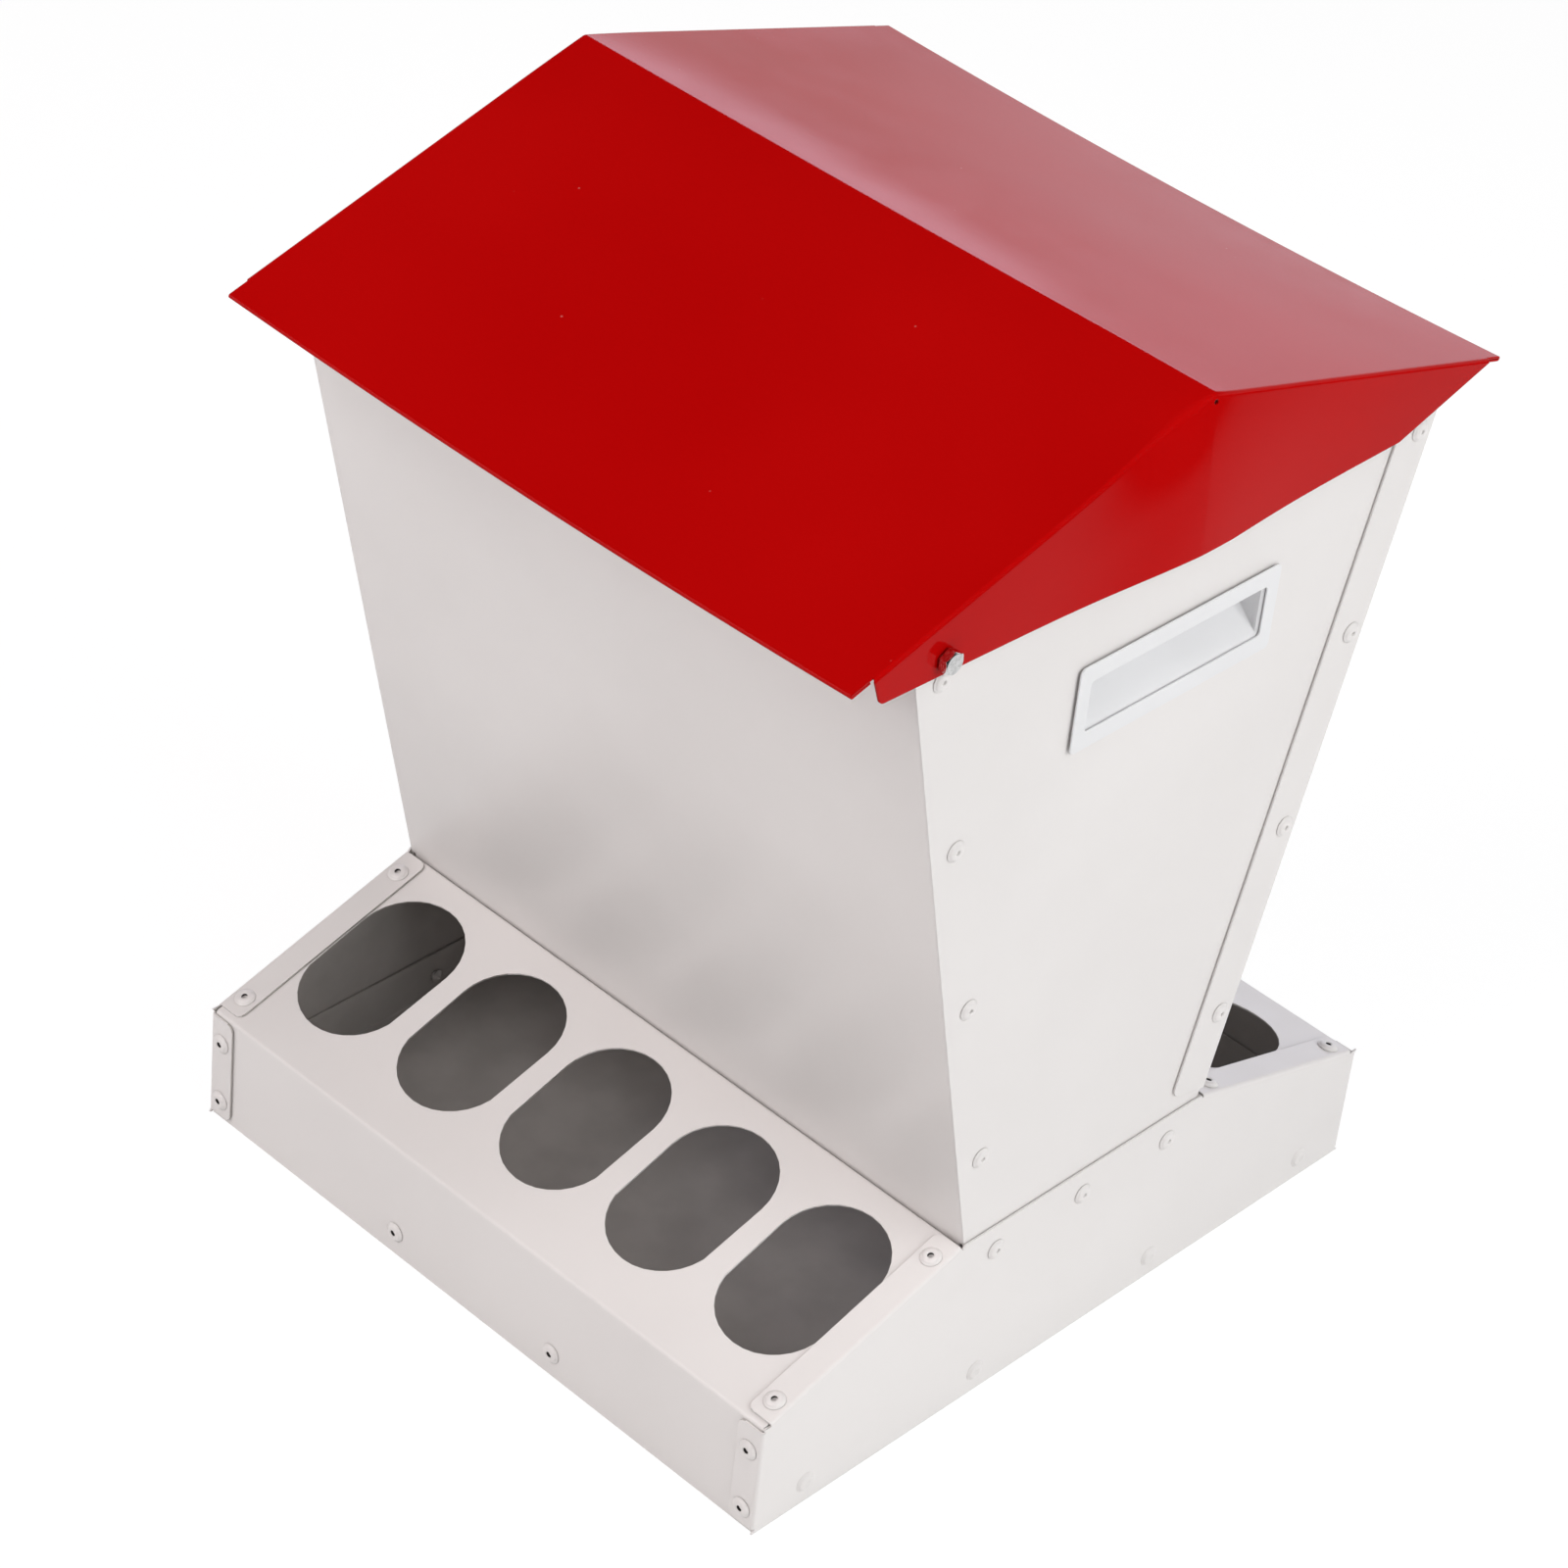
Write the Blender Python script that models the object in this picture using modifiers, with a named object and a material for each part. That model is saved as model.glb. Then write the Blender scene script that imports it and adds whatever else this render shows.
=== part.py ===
"""Double-sided poultry feeder: a riveted sheet-metal hopper on a two-sided tray, under a hinged gable lid.

Metres, +Z up. The origin is on the floor under the middle of the base. X runs along the ridge of the
roof and Y across it. The lid hinges near its front eave, on the -Y side.
"""

import math

import bmesh
import bpy
from mathutils import Matrix, Vector

# Sheet metal
SHEET = 0.0008  # thickness of every steel sheet
LAP_GAP = 0.0003  # paint and air between lapped sheets
BEND_RADIUS = 0.0014  # outside radius of a fold
BEND_STEPS = 3
FOLD_ROOM = 0.0006  # from a sheet's edge to the inside of a fold

# Base
BASE_WIDTH = 0.3000  # outside, along X
BASE_DEPTH = 0.3300  # outside, along Y
WALL_HEIGHT = 0.0515  # front and back walls of the tray
SHOULDER_HEIGHT = 0.0815  # top of the base, where the hopper rises
STRIP_WIDTH = 0.0122  # strips of the side panel, folded over the tray covers
STRIP_END_GAP = 0.0019
SLOPE_STRIP_START = 0.0038
STRIP_CORNER = 0.0030
PAN_FLANGE = 0.0215
PAN_CORNER_GAP = 0.0015
COVER_LIP = 0.0080  # edge of the tray cover, turned down along the hopper
COVER_GAP = 0.0005  # slit between tray cover and hopper

# Feeding holes
HOLES_PER_SIDE = 5
HOLE_PITCH = 0.0571
HOLE_WIDTH = 0.0470
HOLE_LENGTH = 0.0720
HOLE_SETBACK = 0.0563  # from the top of the wall, up the slope to the middle of the hole
HOLE_SEGMENTS = 32

# Hopper
THROAT_DEPTH = 0.1306  # outside, where the hopper meets the base
HOPPER_LEAN = math.radians(13.72)  # front and back panels lean outwards
RIM_HEIGHT = 0.3757
HOPPER_FLANGE = 0.0205
FLANGE_FOOT = 0.0040  # flanges start this far above the shoulder
FLANGE_CORNER = 0.0040
PANEL_DROP = 0.0140  # front and back panels reach this far into the base
SIDE_TUCK = 0.0235  # side panels reach this far into the base
SIDE_CLIP = 0.0060  # clipped front corner of the side panel, along the rim

# Lid
LID_SIDE_GAP = 0.0007  # between the skirt and the hopper
ROOF_PITCH = math.radians(16.37)
ROOF_SAG = 0.0030  # dip of the eave at mid-span
EAVE_OVERHANG = 0.0284  # beyond the hopper's rim
HEM_WIDTH = 0.0080
HEM_GAP = 0.0003
HEM_STEPS = 5
RIDGE_RADIUS = 0.0025
RIDGE_STEPS = 3
ROOF_ROWS = 4
ROOF_COLUMNS = 12
SKIRT_FRONT_GAP = 0.0095  # from the eave to the skirt's front end
SKIRT_BACK_GAP = 0.0083
SKIRT_FRONT_TAPER = 0.0035
SKIRT_FRONT_DEPTH = 0.0125
SKIRT_RIDGE_DEPTH = 0.0637
SKIRT_CLIP_DEPTH = 0.0300  # where the skirt's back corner is clipped
SKIRT_CLIP_INSET = 0.0266  # from the hopper's rim to that corner
SKIRT_CORNER = 0.0030
RELIEF_DIAMETER = 0.0018  # small hole at each end of the ridge
RELIEF_DROP = 0.0034

# Hinge
HINGE_BELOW_RIM = 0.0086
HINGE_INSET = 0.0120  # from the hopper's front face
FRONT_RIM_DROP = 0.0011  # front rim below the hinge's axis, clear of the swinging roof
BOLT_DIAMETER = 0.0050
BOLT_HEAD_WIDTH = 0.0080  # across flats
BOLT_HEAD_HEIGHT = 0.0035
BOLT_CHAMFER = 0.0005
BOLT_HEAD_GAP = 0.0008  # lets the lid turn freely
BOLT_TAIL = 0.0015  # past the nut
PIVOT_GAP = 0.0003
NUT_HEIGHT = 0.0047
NUT_ROOM = 0.0010
ROUND_SEGMENTS = 16

# Rivets
RIVET_HEAD = 0.0084
RIVET_HEAD_HEIGHT = 0.0013
RIVET_CROWN = 0.0052
RIVET_SHANK = 0.0040
RIVET_TAIL = 0.0058
RIVET_TAIL_LENGTH = 0.0030
RIVET_BORE = 0.0018  # left by the pulled mandrel
RIVET_BORE_DEPTH = 0.0008
RIVET_SEAT = 0.0002  # under the head
RIVET_BITE = 0.00005  # joined rivets sink into their sheet by this
RIVET_CLEARANCE = 0.0003
RIVET_SEGMENTS = 8
STRIP_RIVET_INSET = 0.0062  # from the outer face of the side panel
WALL_RIVET_HEIGHTS = (0.0095, 0.0380)
SLOPE_RIVET_INSET = 0.0118  # from each end of the slope
PAN_RIVET_OFFSET = 0.0430
PAN_RIVET_HEIGHT = 0.0105
SIDE_RIVET_INSET = 0.0260
SIDE_RIVET_OFFSET = 0.0490
SIDE_RIVET_HEIGHT = 0.0100
WAIST_RIVETS = 3
WAIST_RIVET_SPREAD = 0.0475
WAIST_RIVET_DROP = 0.0120
CORNER_RIVETS = 4
CORNER_RIVET_START = 0.0399  # above the shoulder
CORNER_RIVET_END = 0.0203  # below the rim
FRONT_RIVET_INSET = 0.0120
BACK_RIVET_INSET = 0.0081

# Recessed handles
HANDLE_WIDTH = 0.1040
HANDLE_HEIGHT = 0.0355
HANDLE_CORNER = 0.0025
HANDLE_BELOW_RIM = 0.0644
HANDLE_SETBACK = 0.0026  # behind the middle of the side
HANDLE_PLATE = 0.0015
HANDLE_EDGE = 0.0005  # rounding of the frame's front edge
HANDLE_WALL = 0.0015
GRIP_WIDTH = 0.0914
GRIP_HEIGHT = 0.0208
GRIP_DEPTH = 0.0160
GRIP_SLOPE = math.radians(40.0)
CUT_REACH = 0.0020  # how far a cutter runs past what it cuts

# Faces that follow from the sizes above, as distances from the middle
SIDE_FACE = BASE_WIDTH / 2
SIDE_INNER = SIDE_FACE - SHEET
COVER_EDGE = SIDE_INNER - FOLD_ROOM
PAN_SIDE = SIDE_INNER - LAP_GAP
WALL_FACE = BASE_DEPTH / 2 - SHEET - LAP_GAP
PAN_END = WALL_FACE - SHEET - LAP_GAP
HOPPER_SIDE_FACE = SIDE_INNER - LAP_GAP
HOPPER_SIDE_INNER = HOPPER_SIDE_FACE - SHEET
INNER_FLANGE_FACE = HOPPER_SIDE_INNER - LAP_GAP
LID_END = SIDE_FACE + LID_SIDE_GAP + SHEET
SLOPE_RISE = SHOULDER_HEIGHT - WALL_HEIGHT
SLOPE_RUN = (BASE_DEPTH - THROAT_DEPTH) / 2
SLOPE_ANGLE = math.atan2(SLOPE_RISE, SLOPE_RUN)
LEAN_RUN = math.tan(HOPPER_LEAN)


def hopper_face(height):
    """Half the hopper's outside depth at this height."""
    return THROAT_DEPTH / 2 + LEAN_RUN * (height - SHOULDER_HEIGHT)


RIM_REACH = hopper_face(RIM_HEIGHT)
EAVE_REACH = RIM_REACH + EAVE_OVERHANG
SKIRT_FRONT = SKIRT_FRONT_GAP - EAVE_REACH
SKIRT_BACK = EAVE_REACH - SKIRT_BACK_GAP


def roof_sag(x, y):
    """Dip of the roof at a point: none at the ridge and the verges, most at mid-eave."""
    across = (y / EAVE_REACH) ** 2
    along = 1 - (x / LID_END) ** 2
    return ROOF_SAG * across * along


# The closed lid lies on the middle of the back panel's rim, which sets the ridge's height.
RIDGE_HEIGHT = (
    RIM_HEIGHT + LAP_GAP + SHEET / math.cos(ROOF_PITCH)
    + RIM_REACH * math.tan(ROOF_PITCH) + roof_sag(0, RIM_REACH)
)
HINGE_HEIGHT = RIM_HEIGHT - HINGE_BELOW_RIM
HINGE = Vector((0, HINGE_INSET - hopper_face(HINGE_HEIGHT), HINGE_HEIGHT))
FRONT_RIM_HEIGHT = HINGE_HEIGHT - FRONT_RIM_DROP
HEX_CORNER = BOLT_HEAD_WIDTH / math.sqrt(3)  # radius over the corners

# Finishes: colour, roughness, metallic
WHITE_PAINT = ((0.79, 0.77, 0.76), 0.38, 0.0)
RED_PAINT = ((0.48, 0.012, 0.012), 0.16, 0.0)
ZINC = ((0.62, 0.61, 0.58), 0.32, 1.0)
WHITE_PLASTIC = ((0.80, 0.80, 0.83), 0.42, 0.0)

SIDES = (("right", 1), ("left", -1))
ENDS = (("front", -1), ("back", 1))


# Scene

def clear_scene():
    for obj in list(bpy.data.objects):
        bpy.data.objects.remove(obj, do_unlink=True)


def new_collection(name):
    collection = bpy.data.collections.new(name)
    bpy.context.scene.collection.children.link(collection)
    return collection


def principled(name, finish):
    colour, roughness, metallic = finish
    material = bpy.data.materials.new(name)
    material.use_nodes = True
    shader = material.node_tree.nodes["Principled BSDF"]
    shader.inputs["Base Color"].default_value = (*colour, 1)
    shader.inputs["Roughness"].default_value = roughness
    shader.inputs["Metallic"].default_value = metallic
    material.diffuse_color = (*colour, 1)
    return material


def placement(location=(0, 0, 0), rotation=None):
    turn = rotation.to_4x4() if rotation else Matrix.Identity(4)
    return Matrix.Translation(location) @ turn


def facing(direction):
    """Rotation that turns local +Z to this direction."""
    return Vector(direction).to_track_quat("Z", "Y").to_matrix()


def add_piece(name, mesh, finish, place=None, parent=None):
    piece = bpy.data.objects.new(name, mesh)
    if not mesh.materials:
        mesh.materials.append(principled(mesh.name, finish))
    piece.parent = parent or ROOT
    piece.matrix_basis = place or Matrix.Identity(4)
    PIECES.objects.link(piece)
    return piece


def add_cutter(name, mesh, place=None):
    cutter = bpy.data.objects.new(name, mesh)
    cutter.matrix_basis = place or Matrix.Identity(4)
    cutter.hide_render = True
    cutter.display_type = "WIRE"
    CUTTERS.objects.link(cutter)
    return cutter


def combine(piece, operand, operation):
    modifier = piece.modifiers.new(operand.name, "BOOLEAN")
    modifier.operation = operation
    modifier.solver = "EXACT"
    modifier.object = operand


def give_thickness(piece):
    """Thicken an open surface, drawn on its outer face, to a sheet."""
    modifier = piece.modifiers.new("sheet", "SOLIDIFY")
    modifier.thickness = SHEET
    modifier.offset = -1
    modifier.use_even_offset = True
    modifier.use_quality_normals = True


# Shapes

def to_mesh(bm, name):
    mesh = bpy.data.meshes.new(name)
    bm.to_mesh(mesh)
    bm.free()
    mesh.shade_smooth()
    mesh.set_sharp_from_angle(angle=math.radians(35))
    return mesh


def new_verts(geometry):
    return [item for item in geometry if isinstance(item, bmesh.types.BMVert)]


def add_cylinder(bm, radius, depth, segments, place=None):
    """A cylinder along Z about the middle of its place."""
    return bmesh.ops.create_cone(
        bm, cap_ends=True, segments=segments, radius1=radius, radius2=radius, depth=depth,
        matrix=place or Matrix.Identity(4),
    )["verts"]


def cylinder_mesh(name, radius, depth, segments, base=0):
    """A cylinder along Z that starts at this height."""
    bm = bmesh.new()
    add_cylinder(bm, radius, depth, segments, placement((0, 0, base + depth / 2)))
    return to_mesh(bm, name)


def block_mesh(name, size):
    """A box about its middle."""
    bm = bmesh.new()
    bmesh.ops.create_cube(bm, size=1, matrix=Matrix.Diagonal((*size, 1)))
    return to_mesh(bm, name)


def plate_mesh(name, size, corner_radius, edge_radius, back):
    """A plate that faces +X, from this depth, with rounded corners and a rounded front edge."""
    bm = bmesh.new()
    place = placement((back + size[0] / 2, 0, 0)) @ Matrix.Diagonal((*size, 1))
    bmesh.ops.create_cube(bm, size=1, matrix=place)
    corners = [e for e in bm.edges if abs(e.verts[0].co.x - e.verts[1].co.x) > size[0] / 2]
    bmesh.ops.bevel(bm, geom=corners, offset=corner_radius, segments=4, profile=0.5, affect="EDGES")
    rim = [e for e in bm.edges if all(vert.co.x > back + size[0] / 2 for vert in e.verts)]
    bmesh.ops.bevel(bm, geom=rim, offset=edge_radius, segments=2, profile=0.5, affect="EDGES")
    return to_mesh(bm, name)


def prism_mesh(name, outline, width):
    """An XZ outline drawn out along Y, about its middle."""
    bm = bmesh.new()
    face = bm.faces.new([bm.verts.new((x, -width / 2, z)) for x, z in outline])
    grown = bmesh.ops.extrude_face_region(bm, geom=[face])["geom"]
    bmesh.ops.translate(bm, vec=(0, width, 0), verts=new_verts(grown))
    bmesh.ops.recalc_face_normals(bm, faces=bm.faces)
    return to_mesh(bm, name)


def extrude_row(bm, edges, step):
    """Draw a row of edges out by this vector; the new row is returned."""
    grown = bmesh.ops.extrude_edge_only(bm, edges=edges)["geom"]
    verts = new_verts(grown)
    bmesh.ops.translate(bm, vec=step, verts=verts)
    return [
        item for item in grown
        if isinstance(item, bmesh.types.BMEdge) and all(vert in verts for vert in item.verts)
    ]


def round_corners(bm, corners, radius):
    bmesh.ops.bevel(bm, geom=corners, offset=radius, segments=3, profile=0.5, affect="VERTICES")


def face_outwards(bm, outward):
    """Turn an open surface so that its widest face across this direction looks along it."""
    bmesh.ops.recalc_face_normals(bm, faces=bm.faces)
    bm.normal_update()
    outward = Vector(outward)
    widest = max(bm.faces, key=lambda face: abs(face.normal.dot(outward)) * face.calc_area())
    if widest.normal.dot(outward) < 0:
        bmesh.ops.reverse_faces(bm, faces=bm.faces)


def bend(bm, edges):
    """Round a run of sharp folds to the bend radius."""
    offset = BEND_RADIUS * math.tan(edges[0].calc_face_angle() / 2)
    bmesh.ops.bevel(
        bm, geom=edges, offset=offset, offset_type="OFFSET", segments=BEND_STEPS, profile=0.5,
        affect="EDGES", clamp_overlap=False,
    )


def folded_sheet(name, corners, folds, outward):
    """A flat sheet with flanges, drawn on its outer face.

    folds maps the number of the corner that a side starts at to the flange on that side: the gaps
    before and after it, its reach as a vector, and the radius of its free corners.
    """
    bm = bmesh.new()
    ring = [bm.verts.new(corner) for corner in corners]
    outline = []
    flanges = []
    for number, vert in enumerate(ring):
        outline.append(vert)
        if number not in folds:
            continue
        before, after, reach, rounding = folds[number]
        start, end = vert, ring[(number + 1) % len(ring)]
        along = (end.co - start.co).normalized()
        if before:
            start = bm.verts.new(start.co + along * before)
            outline.append(start)
        if after:
            end = bm.verts.new(end.co - along * after)
            outline.append(end)
        flanges.append((start, end, reach, rounding))
    bm.faces.new(outline)
    for start, end, reach, rounding in flanges:
        tip, = extrude_row(bm, [bm.edges.get((start, end))], reach)
        if rounding:
            round_corners(bm, tip.verts[:], rounding)
    face_outwards(bm, outward)
    for start, end, _reach, _rounding in flanges:
        bend(bm, [bm.edges.get((start, end))])
    return to_mesh(bm, name)


def add_sheet(name, corners, folds, outward, place=None):
    piece = add_piece(name, folded_sheet(name, corners, folds, outward), WHITE_PAINT, place)
    give_thickness(piece)
    return piece


# Rivets

def grip(sheets):
    """Thickness of a stack of lapped sheets."""
    return sheets * SHEET + (sheets - 1) * LAP_GAP


def rivet_mesh(name, sheets, seat):
    """Half outline of a pulled rivet; z = 0 is the outer face of the stack that it holds."""
    top = seat + RIVET_HEAD_HEIGHT
    inside = -grip(sheets) - RIVET_SEAT
    outline = (
        (0, top - RIVET_BORE_DEPTH),
        (RIVET_BORE / 2, top - RIVET_BORE_DEPTH),
        (RIVET_BORE / 2, top),
        (RIVET_CROWN / 2, seat + 0.8 * RIVET_HEAD_HEIGHT),
        (RIVET_HEAD / 2, seat),
        (RIVET_SHANK / 2, seat),
        (RIVET_SHANK / 2, inside),
        (RIVET_TAIL / 2, inside - RIVET_TAIL_LENGTH / 3),
        (0, inside - RIVET_TAIL_LENGTH),
    )
    bm = bmesh.new()
    verts = [bm.verts.new((x, 0, z)) for x, z in outline]
    for upper, lower in zip(verts, verts[1:]):
        bm.edges.new((upper, lower))
    mesh = bpy.data.meshes.new(name)
    bm.to_mesh(mesh)
    bm.free()
    return mesh


def turn_profile(piece):
    modifier = piece.modifiers.new("turned", "SCREW")
    modifier.axis = "Z"
    modifier.angle = math.tau
    modifier.steps = RIVET_SEGMENTS
    modifier.render_steps = RIVET_SEGMENTS
    modifier.use_merge_vertices = True
    modifier.merge_threshold = 0.00001


def drill(sheet, places):
    """Drill one sheet for all its rivets with a single cutter."""
    radius = (RIVET_SHANK / 2 + RIVET_CLEARANCE) / math.cos(math.pi / RIVET_SEGMENTS)
    depth = 2 * (grip(3) + CUT_REACH)
    name = f"{sheet.name}_rivet_holes"
    bm = bmesh.new()
    for place in places:
        add_cylinder(bm, radius, depth, RIVET_SEGMENTS, place)
    combine(sheet, add_cutter(name, to_mesh(bm, name)), "DIFFERENCE")


def spread(first, last, count):
    return [first + (last - first) * i / (count - 1) for i in range(count)]


def slope_point(side, end, along):
    """A point on the side panel's strip, this far up the slope from the top of the wall."""
    return Vector((
        side * (SIDE_FACE - STRIP_RIVET_INSET),
        end * (BASE_DEPTH / 2 - along * math.cos(SLOPE_ANGLE)),
        WALL_HEIGHT + along * math.sin(SLOPE_ANGLE),
    ))


def wall_rivet_places(side, end):
    x = side * (SIDE_FACE - STRIP_RIVET_INSET)
    return [placement((x, end * BASE_DEPTH / 2, z), facing((0, end, 0))) for z in WALL_RIVET_HEIGHTS]


def slope_rivet_places(side, end):
    slope_length = math.hypot(SLOPE_RUN, SLOPE_RISE)
    outward = (0, end * math.sin(SLOPE_ANGLE), math.cos(SLOPE_ANGLE))
    steps = (SLOPE_RIVET_INSET, slope_length - SLOPE_RIVET_INSET)
    return [placement(slope_point(side, end, along), facing(outward)) for along in steps]


def pan_rivet_places(end):
    return [
        placement((side * PAN_RIVET_OFFSET, end * WALL_FACE, PAN_RIVET_HEIGHT), facing((0, end, 0)))
        for _name, side in SIDES
    ]


def side_rivet_places(side):
    outer = BASE_DEPTH / 2 - SIDE_RIVET_INSET
    steps = (-outer, -SIDE_RIVET_OFFSET, SIDE_RIVET_OFFSET, outer)
    return [placement((side * SIDE_FACE, y, SIDE_RIVET_HEIGHT), facing((side, 0, 0))) for y in steps]


def waist_rivet_places(side):
    z = SHOULDER_HEIGHT - WAIST_RIVET_DROP
    steps = spread(-WAIST_RIVET_SPREAD, WAIST_RIVET_SPREAD, WAIST_RIVETS)
    return [placement((side * SIDE_FACE, y, z), facing((side, 0, 0))) for y in steps]


def corner_rivet_places(side, end):
    """Rivets up a corner of the hopper; at the back the flange lies outside the side panel."""
    x = HOPPER_SIDE_FACE if end < 0 else SIDE_FACE
    inset = FRONT_RIVET_INSET if end < 0 else BACK_RIVET_INSET
    heights = spread(SHOULDER_HEIGHT + CORNER_RIVET_START, RIM_HEIGHT - CORNER_RIVET_END, CORNER_RIVETS)
    return [placement((side * x, end * (hopper_face(z) - inset), z), facing((side, 0, 0))) for z in heights]


# Base

def build_pan():
    x, y = PAN_SIDE, PAN_END
    corners = [(-x, -y, 0), (x, -y, 0), (x, y, 0), (-x, y, 0)]
    flange = (PAN_CORNER_GAP, PAN_CORNER_GAP, (0, 0, PAN_FLANGE), 0)
    return add_sheet("bottom_pan", corners, dict.fromkeys(range(4), flange), (0, 0, -1))


def build_base_side(name, side):
    """Side panel of the base, with strips folded over the walls and slopes of both tray covers."""
    y, throat = BASE_DEPTH / 2, THROAT_DEPTH / 2
    profile = [
        (-y, 0), (y, 0), (y, WALL_HEIGHT),
        (throat, SHOULDER_HEIGHT), (-throat, SHOULDER_HEIGHT), (-y, WALL_HEIGHT),
    ]
    reach = (-side * STRIP_WIDTH, 0, 0)
    wall = (STRIP_END_GAP, STRIP_END_GAP, reach, STRIP_CORNER)
    folds = {
        1: wall,
        2: (SLOPE_STRIP_START, STRIP_END_GAP, reach, STRIP_CORNER),
        4: (STRIP_END_GAP, SLOPE_STRIP_START, reach, STRIP_CORNER),
        5: wall,
    }
    corners = [(side * SIDE_FACE, py, pz) for py, pz in profile]
    panel = add_sheet(f"base_side_{name}", corners, folds, (side, 0, 0))
    mesh = rivet_mesh(f"joined_rivet_{name}", 2, -RIVET_BITE)
    for number, place in enumerate(side_rivet_places(side), 1):
        rivet = add_cutter(f"joined_rivet_{name}_{number}", mesh, place)
        turn_profile(rivet)
        combine(panel, rivet, "UNION")
    return panel


def cover_profile():
    """(y, z) of the tray cover's two folds: over the wall, and down along the hopper."""
    rise = math.tan(SLOPE_ANGLE)
    drop = (SHEET + LAP_GAP) / math.cos(SLOPE_ANGLE)
    wall_z = WALL_HEIGHT + (BASE_DEPTH / 2 - WALL_FACE) * rise - drop
    gap = COVER_GAP / math.cos(HOPPER_LEAN)
    reach = BASE_DEPTH / 2 - THROAT_DEPTH / 2 + LEAN_RUN * SHOULDER_HEIGHT - gap
    lip_z = (WALL_HEIGHT - drop + rise * reach) / (1 + rise * LEAN_RUN)
    return (WALL_FACE, wall_z), (hopper_face(lip_z) + gap, lip_z)


def slot_mesh(name, places):
    """Round-ended cutters, long along their local Y."""
    bm = bmesh.new()
    straight = (HOLE_LENGTH - HOLE_WIDTH) / 2
    for place in places:
        verts = add_cylinder(bm, HOLE_WIDTH / 2, HOLE_WIDTH, HOLE_SEGMENTS)
        for vert in verts:
            vert.co.y += math.copysign(straight, vert.co.y)
        bmesh.ops.transform(bm, matrix=place, verts=verts)
    return to_mesh(bm, name)


def build_tray_cover(name, end):
    """Wall and sloped top of one tray, with its row of feeding holes."""
    (wall_y, wall_z), (lip_y, lip_z) = cover_profile()
    x = COVER_EDGE
    corners = [
        (-x, end * wall_y, wall_z), (x, end * wall_y, wall_z),
        (x, end * lip_y, lip_z), (-x, end * lip_y, lip_z),
    ]
    lip = Vector((0, -end * math.sin(HOPPER_LEAN), -math.cos(HOPPER_LEAN))) * COVER_LIP
    folds = {0: (0, 0, (0, 0, -wall_z), 0), 2: (0, 0, lip, 0)}
    cover = add_sheet(f"tray_cover_{name}", corners, folds, (0, 0, 1))
    tilt = Matrix.Rotation(-end * SLOPE_ANGLE, 3, "X")
    middle = slope_point(0, end, HOLE_SETBACK)
    first = -HOLE_PITCH * (HOLES_PER_SIDE - 1) / 2
    places = [
        placement((first + HOLE_PITCH * i, middle.y, middle.z), tilt) for i in range(HOLES_PER_SIDE)
    ]
    holes = f"tray_cover_{name}_feeding_holes"
    combine(cover, add_cutter(holes, slot_mesh(holes, places)), "DIFFERENCE")
    return cover


# Hopper

def up_panel(height):
    """Distance up a leaning panel from the shoulder to this height."""
    return (height - SHOULDER_HEIGHT) / math.cos(HOPPER_LEAN)


def panel_place(end):
    lean = Matrix.Rotation(-end * HOPPER_LEAN, 3, "X")
    return placement((0, end * THROAT_DEPTH / 2, SHOULDER_HEIGHT), lean)


def build_front_panel():
    """Front of the hopper; its flanges lie inside the side panels and end below the hinge nuts."""
    x = INNER_FLANGE_FACE
    foot, flange_foot, flange_top, rim = [
        up_panel(z) for z in (
            SHOULDER_HEIGHT - PANEL_DROP,
            SHOULDER_HEIGHT + FLANGE_FOOT,
            HINGE_HEIGHT - HEX_CORNER - NUT_ROOM - LEAN_RUN * (HINGE_INSET + HEX_CORNER),
            FRONT_RIM_HEIGHT,
        )
    ]
    below, above = flange_foot - foot, rim - flange_top
    corners = [(-x, 0, foot), (x, 0, foot), (x, 0, rim), (-x, 0, rim)]
    reach = (0, HOPPER_FLANGE, 0)
    folds = {1: (below, above, reach, FLANGE_CORNER), 3: (above, below, reach, FLANGE_CORNER)}
    return add_sheet("hopper_front", corners, folds, (0, -1, 0), panel_place(-1))


def build_back_panel():
    """Back of the hopper; its flanges lap the side panels from outside, above the base."""
    narrow, wide = INNER_FLANGE_FACE, SIDE_FACE
    foot, step, rim = [
        up_panel(z) for z in (SHOULDER_HEIGHT - PANEL_DROP, SHOULDER_HEIGHT + FLANGE_FOOT, RIM_HEIGHT)
    ]
    half = [(narrow, 0, foot), (narrow, 0, step), (wide, 0, step), (wide, 0, rim)]
    corners = half + [(-x, y, z) for x, y, z in reversed(half)]
    flange = (0, 0, (0, -HOPPER_FLANGE, 0), FLANGE_CORNER)
    return add_sheet("hopper_back", corners, {2: flange, 4: flange}, (0, 1, 0), panel_place(1))


def build_hopper_side(name, side):
    """Side of the hopper: flush with the front panel, inside the back panel's fold."""
    foot = SHOULDER_HEIGHT - SIDE_TUCK
    back_gap = (SHEET + FOLD_ROOM) / math.cos(HOPPER_LEAN)
    profile = [
        (-hopper_face(foot), foot),
        (hopper_face(foot) - back_gap, foot),
        (RIM_REACH - back_gap, RIM_HEIGHT),
        (SIDE_CLIP - RIM_REACH, RIM_HEIGHT),
        (-hopper_face(FRONT_RIM_HEIGHT), FRONT_RIM_HEIGHT),
    ]
    corners = [(side * HOPPER_SIDE_FACE, y, z) for y, z in profile]
    return add_sheet(f"hopper_side_{name}", corners, {}, (side, 0, 0))


# Handles

def handle_place(side):
    turn = Matrix.Rotation(0 if side > 0 else math.pi, 3, "Z")
    return placement((side * HOPPER_SIDE_FACE, HANDLE_SETBACK, RIM_HEIGHT - HANDLE_BELOW_RIM), turn)


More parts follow.
